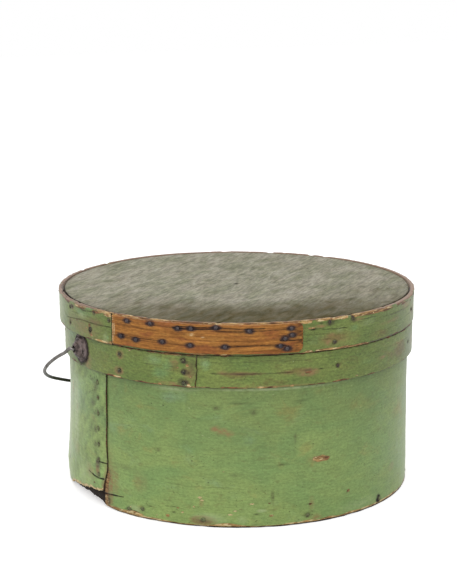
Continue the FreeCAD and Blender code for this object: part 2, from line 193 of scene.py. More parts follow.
def nail_rings(nodes, angle, high, radius, ring, width):
    """1 on a ring round each nail head, 0 at a width from it."""
    best = blank(angle, high)
    for node in nodes:
        for bearing, site_high, _, _ in SITES[node]:
            turn = wrapped(angle - bearing)
            distance = np.hypot(arc_at(turn, radius), high - site_high)
            best = np.maximum(best, unit(1 - np.abs(distance - ring) / width))
    return best


def knots(value, places):
    """Straight lines through (value, result) pairs, level beyond them."""
    return np.interp(value, [a for a, _ in places], [b for _, b in places])


def swell(value, middle, reach):
    """A smooth hump: 1 in the middle and 0 from the reach on."""
    return 0.5 - 0.5 * np.cos(math.pi * unit(1 - np.abs(value - middle) / reach))


def line_distance(along, up, points):
    """Distance in metres from a chain of points."""
    best = np.full(np.broadcast(along, up).shape, 1e9)
    for (x0, y0), (x1, y1) in zip(points, points[1:]):
        dx, dy = x1 - x0, y1 - y0
        share = unit(((along - x0) * dx + (up - y0) * dy) / (dx * dx + dy * dy))
        best = np.minimum(best, np.hypot(along - x0 - share * dx, up - y0 - share * dy))
    return best


# ---- mesh helpers ------------------------------------------------------------------------------------
def make_object(name, verts, faces, material, flat=(), fields=None):
    """A mesh object. fields maps a vector attribute's name to one value per vertex."""
    mesh = bpy.data.meshes.new(name)
    mesh.from_pydata([tuple(v) for v in verts], [], faces)
    smooth = np.ones(len(faces), bool)
    smooth[list(flat)] = False
    mesh.polygons.foreach_set("use_smooth", smooth)
    for field, values in (fields or {}).items():
        layer = mesh.attributes.new(field, "FLOAT_VECTOR", "POINT")
        layer.data.foreach_set("vector", np.asarray(values, np.float32).ravel())
    mesh.materials.append(material)
    mesh.validate()
    obj = bpy.data.objects.new(name, mesh)
    bpy.context.scene.collection.objects.link(obj)
    return obj


def turned(radius, angle, high):
    """Points at a radius, bearing and height."""
    turn = np.radians(angle)
    return np.stack([radius * np.sin(turn), -radius * np.cos(turn), high + 0 * radius], -1)


def install(obj, body, nodes):
    """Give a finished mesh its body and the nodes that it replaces."""
    if body == "lid":
        obj.data.transform(Matrix.Translation(LID_SHIFT))
    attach(obj, body)
    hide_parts(*nodes)


# ---- nails -------------------------------------------------------------------------------------------
def nail_sites(node):
    """(bearing, height, seat radius, inner reach) of every nail in a node of the frame."""
    work = bmesh.new()
    work.from_mesh(frame["nodes"][node].data)
    bmesh.ops.remove_doubles(work, verts=work.verts, dist=1e-5)
    left, sites = set(work.verts), []
    while left:
        island, queue = [], [left.pop()]
        while queue:
            vert = queue.pop()
            island.append(vert.co.copy())
            for edge in vert.link_edges:
                other = edge.other_vert(vert)
                if other in left:
                    left.remove(other)
                    queue.append(other)
        bearing = math.atan2(sum(co.x for co in island), -sum(co.y for co in island))
        out = Vector((math.sin(bearing), -math.cos(bearing), 0))
        reach = [co.dot(out) for co in island]
        heads = [co.z for co, r in zip(island, reach) if r > max(reach) - 1.05 * NAIL_HIGH]
        middle = (min(heads) + max(heads)) / 2
        sites.append((math.degrees(bearing), middle, max(reach) - NAIL_HIGH, min(reach)))
    work.free()
    return sorted(sites)


NAIL_NODES = [
    "side_lap_nails", "base_nails", "hoop_lap_nails", "hoop_nails", "rim_board_nails", "rim_low_nails",
    "slat_board_nails", "slat_rim_nails"]
SITES = {node: nail_sites(node) for node in NAIL_NODES}


def near_nails(nodes, angle, high, radius, size):
    """Largest closeness: 1 at a nail, and 0 from the edge of an ellipse of that size on."""
    best = blank(angle, high)
    for node in nodes:
        for bearing, site_high, _, _ in SITES[node]:
            turn = wrapped(angle - bearing)
            best = np.maximum(best, spot(arc_at(turn, radius), high, (0, site_high), size))
    return best


# ---- bent strips -------------------------------------------------------------------------------------
def on_last_lap(angle, lap_end, lap):
    """Whether an angle along a strip lies over the strip's own start."""
    return angle > lap_end + NEARLY_ROUND - lap


def feathered(angle, lap_end):
    """How much an outer end is thinned over its last degrees, in mm."""
    return 0.8 * unit((angle - lap_end - (360 - FEATHER)) / FEATHER)


def lapped(angles, inner_radius, thick, lap_end, lap, carrier=()):
    """Inner and outer radii, at the angles, of a strip that overlaps itself.

    carrier lists the (angle, rise) corners of the strip that lies under it, if one does.
    """
    start = lap_end - lap
    climb = [] if carrier else [(start + 360 - RAMP, 0.0)]
    base = [(angle, inner_radius + rise) for angle, rise in list(carrier) + climb]
    inner = [(start, inner_radius)] + base
    inner += [(start + 360, inner_radius + BUMP), (lap_end + 360, inner_radius + thick + SEAM)]
    outer = [(start, inner_radius + TIP), (lap_end, inner_radius + thick)]
    outer += [(angle, radius + thick) for angle, radius in base]
    outer += [(lap_end + 360, inner_radius + thick + BUMP)]
    return [np.interp(angles, *np.array(corners).T) for corners in (inner, outer)]


ARC = np.radians([30, 60, 90])          # corners of a strip's section are arcs of three steps


def strip_mesh(name, material, angles, inner, outer, low, high, rows, round_low, round_high, push, warp,
               marks, tints_and_light, stains_and_light, end_wave=None, end_marks=(0.2, 1.0, 0.0)):
    """A bent strip with rounded edges.

    inner, outer, low, high, round_low and round_high hold one value per angle. rows are shares of the height
    where the outer face has points. push(angle, high) moves the outer face outwards, and warp(angle, high)
    the whole strip. marks(angle, high, side) gives (bare, dark, tone), where side is 0 on the outer face and
    its edges and 1 on the inner face. tints(angle, high) gives (olive, cool, shade), and rubs(angle, high)
    gives (brown, pale, murk). end_wave(high) shifts the outer end along the strip, in degrees. end_marks are
    the marks of both end faces.
    """
    column = np.ones_like(angles)
    thick = outer - inner
    soft = np.minimum(0.45 * thick, 0.8 * MM)
    radius, height, side = [], [], []

    def add(r, z, s):
        radius.append(r * column)
        height.append(z * column)
        side.append(s)

    lower, upper = low + round_low, high - round_high
    for row in rows:
        add(outer, lower + (upper - lower) * row, 0)
    edge_high = np.minimum(round_high, 0.6 * thick)
    for turn in ARC:
        add(outer - edge_high * (1 - math.cos(turn)), high - round_high * (1 - math.sin(turn)), 0)
    for turn in ARC[::-1]:
        add(inner + soft * (1 - math.cos(turn)), high - soft * (1 - math.sin(turn)), 1)
    for row in np.linspace(1, 0, INNER_ROWS):
        add(inner, low + soft + (high - low - 2 * soft) * row, 1)
    for turn in ARC:
        add(inner + soft * (1 - math.cos(turn)), low + soft * (1 - math.sin(turn)), 1)
    edge_low = np.minimum(round_low, 0.6 * thick)
    for turn in ARC[::-1]:
        add(outer - edge_low * (1 - math.cos(turn)), low + round_low * (1 - math.sin(turn)), 0)

    radius, height, side = np.stack(radius, 1), np.stack(height, 1), np.array(side)
    angle = np.repeat(angles[:, None], len(side), 1)
    if end_wave is not None:
        ease = unit(1 - (angles[-1] - angle) / END_REACH) ** 2
        angle = angle + ease * end_wave(height)
    depth = np.repeat(outer[:, None], len(side), 1) - radius
    radius = radius + warp(angle, height) + push(angle, height) * (side == 0)
    count, ring = radius.shape
    verts = turned(radius, angle, height).reshape(-1, 3)
    along = np.radians(angle) * outer.mean()
    grain = np.stack([along, height, depth], -1).reshape(-1, 3)
    paint = np.stack(marks(angle, height, side[None, :] + 0 * angle), -1).reshape(-1, 3)
    # the tint and rub values hold painted sheen and painted shade as well as real tints and stains
    tint_and_light = np.stack(tints_and_light(angle, height), -1).reshape(-1, 3)
    stain_and_light = np.stack(stains_and_light(angle, height), -1).reshape(-1, 3)
    index = np.arange(count * ring).reshape(count, ring)
    nxt = np.roll(index, -1, 1)
    faces = np.stack([index[:-1], index[1:], nxt[1:], nxt[:-1]], -1).reshape(-1, 4).tolist()
    for end, order in ((0, 1), (count - 1, -1)):
        first = len(verts)
        verts = np.concatenate([verts, verts[index[end]]])
        grain = np.concatenate([grain, grain[index[end]]])
        paint = np.concatenate([paint, np.tile(end_marks, (ring, 1))])
        tint_and_light = np.concatenate([tint_and_light, tint_and_light[index[end]]])
        stain_and_light = np.concatenate([stain_and_light, stain_and_light[index[end]]])
        faces.append((first + np.arange(ring)[::order]).tolist())
    caps = [len(faces) - 2, len(faces) - 1]
    fields = {"grain": grain, "marks": paint, "tint_and_light": tint_and_light, "stain_and_light": stain_and_light}
    return make_object(name, verts, faces, material, caps, fields)


def columns(start, end, step, fine=()):
    """Angles from start to end, closer together in the (from, to, step) stretches of fine."""
    spaced = [np.arange(start, end, step), [end]]
    spaced += [np.arange(a, min(b, end), fine_step) for a, b, fine_step in fine]
    angles = np.unique(np.round(np.concatenate(spaced), 3))
    return angles[np.concatenate([[True], np.diff(angles) > 0.04])]


def row_shares(low, high, step, fine=()):
    """Shares of the height from low to high, closer together in the (from, to, step) stretches of fine."""
    spaced = [np.linspace(low, high, int(round((high - low) / step)) + 1)]
    spaced += [np.arange(a, b, fine_step) for a, b, fine_step in fine]
    heights = np.unique(np.round(np.clip(np.concatenate(spaced), low, high), 5))
    return (heights - low) / (high - low)


# ---- shader building ---------------------------------------------------------------------------------
class Shader:
    """A material built node by node."""

    def __init__(self, name, roughness, specular=0.5, metallic=0.0):
        self.material = bpy.data.materials.new(name)
        self.material.use_nodes = True
        self.tree = self.material.node_tree
        self.surface = self.tree.nodes["Principled BSDF"]
        self.surface.inputs["Roughness"].default_value = roughness
        self.surface.inputs["Specular IOR Level"].default_value = specular
        self.surface.inputs["Metallic"].default_value = metallic

    def node(self, kind, inputs=(), **settings):
        made = self.tree.nodes.new("ShaderNode" + kind)
        for key, value in settings.items():
            setattr(made, key, value)
        for key, value in dict(inputs).items():
            self.feed(made.inputs[key], value)
        return made

    def feed(self, socket, value):
        if isinstance(value, bpy.types.NodeSocket):
            self.tree.links.new(value, socket)
        else:
            socket.default_value = value

    def math(self, operation, first, second=0.0, third=0.0, clamp=False):
        inputs = {0: first, 1: second, 2: third}
        return self.node("Math", inputs, operation=operation, use_clamp=clamp).outputs[0]

    def plus(self, first, second, clamp=False):
        return self.math("ADD", first, second, clamp=clamp)

    def minus(self, first, second):
        return self.math("SUBTRACT", first, second)

    def times(self, first, second, clamp=False):
        return self.math("MULTIPLY", first, second, clamp=clamp)

    def attribute(self, name):
        return self.node("Attribute", attribute_name=name).outputs["Vector"]

    def split(self, vector):
        return self.node("SeparateXYZ", {0: vector}).outputs

    def scaled(self, vector, scale):
        return self.node("VectorMath", {0: vector, 1: scale}, operation="MULTIPLY").outputs[0]

    def noise(self, vector, scale, detail=3.0, roughness=0.55, distortion=0.0):
        inputs = {"Vector": self.scaled(vector, scale), "Scale": 1.0, "Detail": detail,
                  "Roughness": roughness, "Distortion": distortion}
        return self.node("TexNoise", inputs).outputs["Fac"]

    def steps(self, value, low, high, start=0.0, end=1.0):
        """value as a smooth step from start, at low, to end, at high."""
        inputs = {"Value": value, "From Min": low, "From Max": high, "To Min": start, "To Max": end}
        return self.node("MapRange", inputs, interpolation_type="SMOOTHSTEP").outputs[0]

    def mix(self, share, first, second, blend="MIX"):
        made = self.node("Mix", data_type="RGBA", blend_type=blend)
        self.feed(made.inputs[0], share)
        self.feed(made.inputs[6], first)
        self.feed(made.inputs[7], second)
        return made.outputs[2]

    def gray(self, value):
        return self.node("CombineXYZ", {0: value, 1: value, 2: value}).outputs[0]

    def tinted(self, colour, value):
        """colour times a number."""
        return self.mix(1.0, colour, self.gray(value), "MULTIPLY")

    def layer(self, colour, field, low, high, share, hue):
        """colour, covered with up to a share of a hue where the field goes from low to high."""
        return self.mix(self.steps(field, low, high, 0.0, share), colour, hue)

    def vary(self, colour, field, low, high, start, end):
        """colour, times start where the field is low and times end where it is high."""
        return self.tinted(colour, self.steps(field, low, high, start, end))

    def finish(self, colour, roughness=None, height=None, distance=0.0003):
        self.feed(self.surface.inputs["Base Color"], colour)
        if roughness is not None:
            self.feed(self.surface.inputs["Roughness"], roughness)
        if height is not None:
            bump = self.node("Bump", {"Height": height, "Distance": distance, "Strength": 1.0})
            self.feed(self.surface.inputs["Normal"], bump.outputs[0])
        return self.material


def wood_colour(shader, grain, tone, weathered=0.0):
    """Wood laid bare under paint.

    A tone of 1 is dark red-brown wood and 0 is tan wood, and the lower it is, the more pale ground coat is
    left on it. weathered turns the wood grey.
    """
    streak = shader.noise(grain, (60, 420, 420), 5, 0.65, 0.3)
    colour = shader.mix(shader.steps(streak, 0.36, 0.64), rgb(120, 88, 52), rgb(197, 158, 100))
    red = shader.mix(shader.steps(streak, 0.36, 0.64), rgb(86, 56, 36), rgb(146, 98, 62))
    colour = shader.mix(shader.math("MAXIMUM", tone, 0.0), colour, red)
    chips = shader.noise(grain, (110, 420, 420), 4, 0.6, 0.4)
    pale = shader.minus(chips, shader.times(tone, 0.13))
    colour = shader.layer(colour, pale, 0.53, 0.6, 0.9, rgb(216, 196, 148))
    colour = shader.layer(colour, pale, 0.42, 0.34, 0.7, rgb(74, 52, 34))
    return shader.mix(weathered, colour, rgb(150, 124, 106))


def painted_wood(name, light, deep, olive, cool, coarse):
    """Matt green paint on bent wood.

    marks.x bares the wood, marks.y darkens, partly as painted shade in crevices and along edges, and marks.z
    is the bare wood's tone. tint.x turns the paint olive, tint.y turns it cool and pale, partly as a painted
    sheen, and tint.z brightens or darkens it as painted shade and sheen and in random patches. rub holds soft
    brown, pale and murky stains, with a painted sheen among the pale and painted shade among the murky.
    coarse is the strength of the fine mottle and streaks.
    """
    s = Shader(name, 0.42, 0.36)
    s.surface.inputs["Sheen Weight"].default_value = 0.28
    s.surface.inputs["Sheen Roughness"].default_value = 0.35
    grain, marks, tint_and_light = s.attribute("grain"), s.split(s.attribute("marks")), s.split(s.attribute("tint_and_light"))
    stain_and_light = s.split(s.attribute("stain_and_light"))
    bare_mark, dark_mark, tone_mark = marks[0], marks[1], marks[2]
    cloud = s.noise(grain, (12, 20, 12), 5, 0.55, 0.6)
    colour = s.mix(s.steps(cloud, 0.34, 0.66), deep, light)
    smudge = s.plus(s.noise(grain, (24, 42, 24), 5, 0.62, 0.8), s.times(tint_and_light[0], 0.22))
    colour = s.layer(colour, smudge, 0.56, 0.8, 0.85, olive)
    wash = s.plus(s.noise(grain, (16, 30, 17), 5, 0.6, 0.5), s.times(tint_and_light[1], 0.25))
    colour = s.layer(colour, wash, 0.56, 0.84, 0.8, cool)
    dirt = s.noise(grain, (60, 150, 60), 5, 0.65, 0.4)
    colour = s.layer(colour, dirt, 0.56, 0.72, 0.4, rgb(108, 102, 58))
    patch = s.noise(grain, (40, 90, 41), 4, 0.6, 0.4)
    colour = s.vary(colour, patch, 0.36, 0.64, 0.95, 1.05)
    mottle = s.noise(grain, (240, 400, 241), 5, 0.75)
    colour = s.vary(colour, mottle, 0.34, 0.66, 1 - 0.17 * coarse, 1 + 0.15 * coarse)
    streak = s.noise(grain, (40, 480, 40), 5, 0.65)
    colour = s.vary(colour, streak, 0.32, 0.68, 1 - 0.07 * coarse, 1 + 0.06 * coarse)
    colour = s.tinted(colour, s.plus(tint_and_light[2], 1.0))
    flecked = s.noise(grain, (26, 40, 27), 4, 0.6)
    specks = s.plus(s.noise(grain, (300, 420, 300), 3, 0.6), s.steps(flecked, 0.4, 0.65, -0.03, 0.05))
    colour = s.layer(colour, specks, 0.66, 0.72, 0.85, rgb(62, 64, 34))
    pale = s.plus(s.noise(grain, (250, 400, 251), 3, 0.6), s.steps(flecked, 0.35, 0.6, -0.03, 0.05))
    colour = s.layer(colour, pale, 0.7, 0.78, 0.6, rgb(180, 186, 138))
    broken = s.noise(grain, (130, 260, 131), 5, 0.65, 0.3)
    for channel, hue in zip(stain_and_light, (rgb(144, 116, 76), rgb(178, 192, 144), rgb(66, 56, 36))):
        share = s.times(channel, s.steps(broken, 0.3, 0.66, 0.35, 1.35))
        colour = s.mix(s.times(share, 1.0, clamp=True), colour, hue)
    ragged = s.noise(grain, (170, 430, 300), 6, 0.7, 0.3)
    bare = s.plus(bare_mark, s.times(s.minus(ragged, 0.5), 1.1))
    bare = s.times(bare, s.steps(bare_mark, 0.0, 0.12))
    rim = s.times(s.steps(bare, 0.34, 0.47), s.steps(bare, 0.66, 0.5))
    colour = s.mix(s.times(rim, 0.5), colour, rgb(78, 62, 38))
    wood = wood_colour(s, grain, tone_mark, s.times(tint_and_light[1], 0.55, clamp=True))
    bare = s.steps(bare, 0.44, 0.56)
    colour = s.mix(bare, colour, wood)
    murk = s.noise(grain, (120, 300, 200), 4, 0.6)
    dark = s.times(dark_mark, s.steps(murk, 0.25, 0.62, 0.45, 1.25))
    colour = s.mix(s.math("MINIMUM", dark, 1.0), colour, rgb(28, 17, 9))
    height = s.plus(s.times(streak, 0.5), s.times(mottle, 0.4))
    height = s.minus(height, s.times(bare, 0.4))
    rough = s.plus(s.steps(cloud, 0.3, 0.7, 0.36, 0.48), s.times(bare, 0.25))
    rough = s.plus(rough, s.times(dark, 0.4), clamp=True)
    return s.finish(colour, rough, height, 0.0002)


def board_paint(name):
    """Weathered grey-green paint on a flat board.

    marks.x bares the wood, marks.y darkens, with painted shade in the gap at the board's edge, and marks.z
    darkens it as dirt and a painted shadow.
    """
    s = Shader(name, 0.7, 0.05)
    grain, marks = s.attribute("grain"), s.split(s.attribute("marks"))
    cloud = s.noise(grain, (16, 30, 16), 5, 0.6, 0.4)
    streak = s.noise(grain, (22, 120, 40), 5, 0.65, 0.3)
    blot = s.noise(grain, (30, 62, 31), 5, 0.65, 0.4)
    fine = s.noise(grain, (56, 290, 150), 5, 0.75)
    colour = s.mix(s.steps(cloud, 0.36, 0.64), rgb(137, 137, 115), rgb(154, 149, 132))
    colour = s.layer(colour, blot, 0.5, 0.66, 0.5, rgb(167, 161, 145))
    colour = s.layer(colour, blot, 0.46, 0.34, 0.5, rgb(106, 107, 80))
    colour = s.vary(colour, streak, 0.34, 0.66, 0.93, 1.06)
    colour = s.vary(colour, fine, 0.36, 0.64, 0.72, 1.26)
    stroke = s.plus(s.noise(grain, (60, 260, 61), 4, 0.6), s.steps(blot, 0.4, 0.6, -0.05, 0.03))
    colour = s.layer(colour, stroke, 0.58, 0.68, 0.55, rgb(176, 174, 158))
    # dirt and a painted shadow: the lid turns dark olive-brown where marks.z is high
    grimed_and_shaded = s.times(marks[2], s.steps(blot, 0.3, 0.62, 1.0, 0.82), clamp=True)
    colour = s.mix(grimed_and_shaded, colour, s.mix(s.steps(streak, 0.34, 0.66), rgb(58, 52, 8), rgb(78, 65, 24)))
    ragged = s.noise(grain, (90, 420, 300), 5, 0.65)
    bare = s.plus(marks[0], s.times(s.minus(ragged, 0.5), 1.1))
    bare = s.steps(s.times(bare, s.steps(marks[0], 0.0, 0.12)), 0.46, 0.54)
    wood = wood_colour(s, grain, 0.4)
    colour = s.mix(bare, colour, wood)
    specks = s.noise(grain, (260, 420, 260), 3, 0.6)
    colour = s.layer(colour, specks, 0.66, 0.73, 0.7, rgb(58, 54, 38))
    dark = s.times(marks[1], s.steps(s.noise(grain, (60, 300, 200), 4, 0.6), 0.2, 0.65, 0.6, 1.2))
    colour = s.mix(s.math("MINIMUM", dark, 1.0), colour, rgb(36, 28, 18))
    height = s.plus(s.times(streak, 0.6), s.times(fine, 0.4))
    return s.finish(colour, s.steps(blot, 0.3, 0.7, 0.62, 0.5), height, 0.0004)


def slat_wood(name):
    """Bare orange-brown wood. marks.x is the blue-black iron stain, marks.y darkens, marks.z pales."""
    s = Shader(name, 0.58, 0.22)
    grain, marks, tint_and_light = s.attribute("grain"), s.split(s.attribute("marks")), s.split(s.attribute("tint_and_light"))
    streak = s.noise(grain, (14, 340, 100), 6, 0.68, 0.4)
    broad = s.noise(grain, (22, 90, 60), 4, 0.6, 0.6)
    colour = s.mix(s.steps(streak, 0.34, 0.66), rgb(128, 80, 34), rgb(180, 122, 56))
    colour = s.layer(colour, broad, 0.5, 0.66, 0.75, rgb(142, 82, 44))
    colour = s.layer(colour, broad, 0.44, 0.32, 0.6, rgb(184, 134, 68))
    fine = s.noise(grain, (70, 1100, 300), 4, 0.65)
    mottle = s.noise(grain, (200, 420, 300), 4, 0.65)
    colour = s.vary(colour, fine, 0.32, 0.68, 0.86, 1.08)
    colour = s.vary(colour, mottle, 0.34, 0.66, 0.82, 1.15)
    colour = s.tinted(colour, s.plus(tint_and_light[2], 1.0))
    pale = s.times(marks[2], s.steps(s.noise(grain, (240, 600, 300), 3), 0.35, 0.6))
    colour = s.mix(pale, colour, rgb(212, 182, 138))
    ragged = s.noise(grain, (170, 520, 300), 6, 0.7, 0.3)
    stain = s.plus(marks[0], s.times(s.minus(ragged, 0.5), 1.0))
    stain = s.steps(s.times(stain, s.steps(marks[0], 0.0, 0.1)), 0.12, 0.95, 0.0, 0.95)
    colour = s.mix(stain, colour, rgb(44, 36, 42))
    dark = s.times(marks[1], s.steps(ragged, 0.28, 0.6, 0.4, 1.25))
    colour = s.mix(s.math("MINIMUM", dark, 1.0), colour, rgb(26, 17, 14))
    height = s.plus(s.times(streak, 0.6), s.times(mottle, 0.3))
    return s.finish(colour, s.steps(streak, 0.3, 0.7, 0.64, 0.5), height, 0.0004)


def bare_wood(name):
    """Aged unpainted wood. marks.y darkens."""
    s = Shader(name, 0.75, 0.25)
    grain, marks = s.attribute("grain"), s.split(s.attribute("marks"))
    streak = s.noise(grain, (14, 320, 320), 5, 0.65, 0.3)
    colour = s.mix(s.steps(streak, 0.36, 0.64), rgb(124, 90, 60), rgb(170, 136, 96))
    colour = s.mix(s.math("MINIMUM", marks[1], 1.0), colour, rgb(52, 40, 30))
    return s.finish(colour, None, streak, 0.0003)


def ear_iron(name):
    """Oxidised sheet iron: purple-grey where it is rubbed, nearly black in the hollows."""
    s = Shader(name, 0.42, 0.5, 0.5)
    polar = s.attribute("grain")
    rust = s.noise(polar, (260, 160, 160), 5, 0.65)
    ribs = s.noise(polar, (620, 46, 300), 4, 0.6)
    colour = s.mix(s.steps(rust, 0.36, 0.62), rgb(47, 39, 37), rgb(112, 96, 92))
    colour = s.layer(colour, ribs, 0.55, 0.7, 0.6, rgb(150, 136, 134))
    colour = s.layer(colour, ribs, 0.45, 0.32, 0.7, rgb(36, 26, 22))
    warm = s.noise(polar, (90, 260, 91), 4, 0.6)
    colour = s.layer(colour, warm, 0.56, 0.7, 0.6, rgb(98, 68, 50))
    # painted shade: the plate's rim is darkened all round, for the gap where it stands off the hoop
    edge = s.steps(s.split(polar)[0], 0.0158, 0.0172, 0.0, 0.75)
    colour = s.mix(edge, colour, rgb(38, 27, 24))
    height = s.plus(s.times(rust, 0.5), s.times(ribs, 0.7))
    return s.finish(colour, s.steps(rust, 0.35, 0.65, 0.55, 0.36), height, 0.0005)


def iron(name, dark, brown, painted=0.0, roughness=0.5, metallic=0.55):
    """Oxidised iron, with a share of green paint left on it."""
    s = Shader(name, roughness, 0.5, metallic)
    place = s.node("TexCoord").outputs["Object"]
    rust = s.noise(place, (260, 260, 260), 5, 0.65)
    colour = s.mix(s.steps(rust, 0.4, 0.62), dark, brown)
    pits = s.noise(place, (900, 900, 900), 3, 0.6)
    colour = s.vary(colour, pits, 0.3, 0.7, 0.7, 1.25)
    if painted:
        left = s.noise(place, (420, 420, 420), 4, 0.6)
        colour = s.mix(s.steps(left, 0.62 - painted * 0.35, 0.66 - painted * 0.35), colour, rgb(104, 112, 72))
    height = s.plus(s.times(rust, 0.6), s.times(pits, 0.4))
    return s.finish(colour, s.steps(rust, 0.35, 0.65, roughness - 0.08, roughness + 0.2), height, 0.0003)


def wire_steel(name):
    """Steel wire. marks.x is the dark tarnish of its bow."""
    s = Shader(name, 0.34, 0.5, 0.85)
    place = s.node("TexCoord").outputs["Object"]
    marks = s.split(s.attribute("marks"))
    tarnish = s.noise(place, (55, 55, 55), 4, 0.6)
    fine = s.noise(place, (600, 600, 600), 3, 0.6)
    colour = s.mix(s.steps(tarnish, 0.4, 0.62), rgb(138, 134, 130), rgb(96, 91, 86))
    colour = s.mix(marks[0], colour, rgb(46, 43, 38))
    colour = s.vary(colour, fine, 0.3, 0.7, 0.85, 1.1)
    return s.finish(colour, s.steps(tarnish, 0.35, 0.65, 0.3, 0.46), fine, 0.0001)


WALL_GREEN = painted_wood("wall_green", rgb(130, 150, 86), rgb(118, 144, 84), rgb(140, 142, 80),
                          rgb(130, 156, 114), 1.0)
BAND_GREEN = painted_wood("band_green", rgb(118, 132, 66), rgb(102, 121, 58), rgb(110, 98, 50),
                          rgb(112, 146, 92), 1.6)
BOARD = board_paint("lid_paint")
SLAT = slat_wood("slat_wood")
RAW = bare_wood("raw_wood")
EAR_IRON = ear_iron("ear_iron")
WASHER_IRON = iron("washer_iron", rgb(58, 50, 46), rgb(98, 80, 68), 0.0, 0.46, 0.6)
NAIL_IRON = iron("nail_iron", rgb(52, 49, 56), rgb(88, 77, 76), 0.0, 0.42, 0.5)
PAINTED_IRON = iron("painted_nail_iron", rgb(58, 50, 36), rgb(84, 72, 50), 0.55, 0.5, 0.1)
BAND_IRON = iron("band_nail_iron", rgb(42, 36, 30), rgb(76, 62, 46), 0.3, 0.5, 0.2)
STEEL = wire_steel("wire_steel")


# ---- wall --------------------------------------------------------------------------------------------
# (bearing, height in mm) of the broken edge of the whole wall, and of its outer layer alone
WALL_BREAK = [
    (-114, 0.0), (-110.5, 1.2), (-104.8, 4.6), (-99.6, 6.8), (-95.2, 8.7), (-92.1, 9.3), (-89.3, 9.6),
    (-86.2, 8.5), (-83.9, 7.9), (-81.9, 7.1), (-80.8, 4.7), (-79.9, 2.8), (-78, 1.7), (-74.4, 0.5), (-70, 0)]
LAYER_TORN = [
    (-104.4, 2.0), (-103.4, 7.8), (-101.1, 10.1), (-96, 12.2), (-93.5, 12.8), (-91.6, 14.4), (-89.3, 16),
    (-86.8, 17.6), (-83.9, 18), (-80.8, 19.5), (-79.6, 21.3)]
# (bearing, height in mm) of the worn stretch along the lower edge
WALL_WORN = [
    (-90, 1.0), (-79, 1.4), (-75, 2.4), (-70, 3.4), (-65, 3.4), (-60, 2.0), (-55, 1.0), (-50, 0.8),
    (-40, 0.8), (-38.5, 1.6), (-37, 3.0), (-31, 3.0), (-28.5, 1.2), (-12, 1.2), (-8, 1.7), (36, 1.9),
    (60, 1.3)]
WALL_FLECKS = [
    (-43.1, 36.0, 1.0, 4.4, 1.2), (-43.3, 36.6, 3.6, 0.9, 1.1), (-42.6, 33.4, 2.4, 0.8, 1.0),
    (-49.0, 16.2, 1.5, 1.4, 1.2), (-57.8, 7.8, 2.2, 1.0, 0.9), (-45.2, 24.6, 1.6, 1.2, 1.2),
    (-27.0, 29.9, 3.2, 1.0, 1.1), (-32.3, 21.3, 3.4, 1.1, 0.9), (-36.0, 70.4, 2.0, 1.0, 0.9),
    (-68.0, 11.0, 2.0, 1.0, 0.8), (-33.8, 16.4, 4.2, 1.2, 0.9), (-30.6, 23.6, 2.6, 0.9, 0.8),
    (-98.3, 112.0, 0.9, 5.0, 1.1), (-99.0, 104.0, 0.7, 4.0, 0.9), (-53.0, 12.0, 1.2, 1.0, 0.8),
    (-20.0, 47.0, 1.2, 1.0, 0.8), (-47.0, 19.0, 1.0, 1.0, 0.8), (-24.6, 21.0, 1.6, 0.9, 0.8),
    (-8, 60, 1.4, 1.0, 0.7), (14, 44, 2.0, 0.9, 0.7)]
# (height in mm, degrees) that the outer end strays from straight
WALL_END_WAVE = [
    (20, -1.9), (28, -1.5), (36, -0.9), (48, 0.25), (60, 0.4), (88, -0.1), (114, 0.3), (145, 0.2),
    (171, 0.6)]
WALL_BARE = [
    (-4.7, 79.3, 9.5, 4.0, 1.3), (-2.6, 78.8, 5, 3.0, 1.5), (-6.4, 80.6, 5, 2.4, 1.2),
    (6.3, 31.5, 3.5, 2.4, 1.0), (-54.0, 9.5, 4, 2.5, 0.9), (-21.0, 14.0, 4, 2, 0.8),
    (-50.5, 21.0, 3, 1.5, 0.8), (-21.5, 30.0, 2.5, 1.3, 0.9), (-8.0, 24.0, 4, 2, 0.75),
    (-104.5, 133.0, 1.6, 9, 1.2), (-105.6, 122, 1.2, 7, 0.9), (-101.0, 12, 3, 2, 1.0),
    (-85.0, 27.0, 3.2, 1.4, 0.8), (-68.0, 4.6, 7, 2.4, 1.0), (-64.4, 3.8, 6, 2.6, 1.1),
    (-34.6, 3.6, 12, 2.4, 1.2), (-112, 96, 1.2, 7, 0.7)]
WALL_TONE = [(-2.4, 78.8, 3, 2, 1.2), (-8, 24, 5, 3, 1.2), (-101.0, 12, 4, 3, 1.2), (-84.6, 27, 4, 2, 0.8)]
WALL_CREAM = [
    (-61, 4, 20, 6, 1.2), (-34.6, 3, 10, 4, 0.6), (-6.5, 80.4, 9, 3, 0.8), (-104.8, 128, 5, 20, 1.3),
    (-46, 2, 14, 3, 0.4)]
WALL_DARK = [
    (-42.3, 8.2, 1.9, 2.0, 2.4), (21.2, 7.2, 4.2, 4.6, 2.4), (57.8, 31, 1.8, 2.0, 1.6),
    (-68.6, 7.7, 4, 1.8, 1.3), (-63.1, 12, 1.6, 1.6, 1.2), (-9.0, 10.7, 4, 3, 0.5),
    (-8.6, 24.6, 3.2, 1.0, 0.8), (-25.6, 17.0, 3.0, 1.0, 0.9), (-108.7, 34.5, 1.3, 3.4, 1.8),
    (-52.0, 15.0, 2.4, 1.2, 0.8), (52.8, 116, 1.6, 2.2, 1.5), (51.8, 63, 1.4, 2.2, 1.4),
    (38, 150, 1.2, 2, 0.9)]
WALL_LINES_LAP = [
    (1.5, 1.7, [(-79.7, 36.2), (-82.2, 35.0), (-84.9, 35.6), (-86.2, 37.0)]),
    (0.8, 1.2, [(-86, 36.6), (-88.6, 38.8)]), (1.1, 1.5, [(-78.0, 57.4), (-80.4, 57.2), (-82.1, 56.6)]),
    (0.5, 0.7, [(-82.6, 165), (-86.8, 157)]), (0.5, 0.7, [(-83.6, 168), (-88.0, 160)]),
    (0.5, 0.6, [(-84.0, 147), (-88.4, 139)]), (0.5, 0.5, [(-80.5, 143), (-83.4, 133)]),
    (0.5, 0.5, [(-83.0, 122), (-86.4, 115)]), (0.5, 0.45, [(-81.4, 104), (-85.4, 92)])]
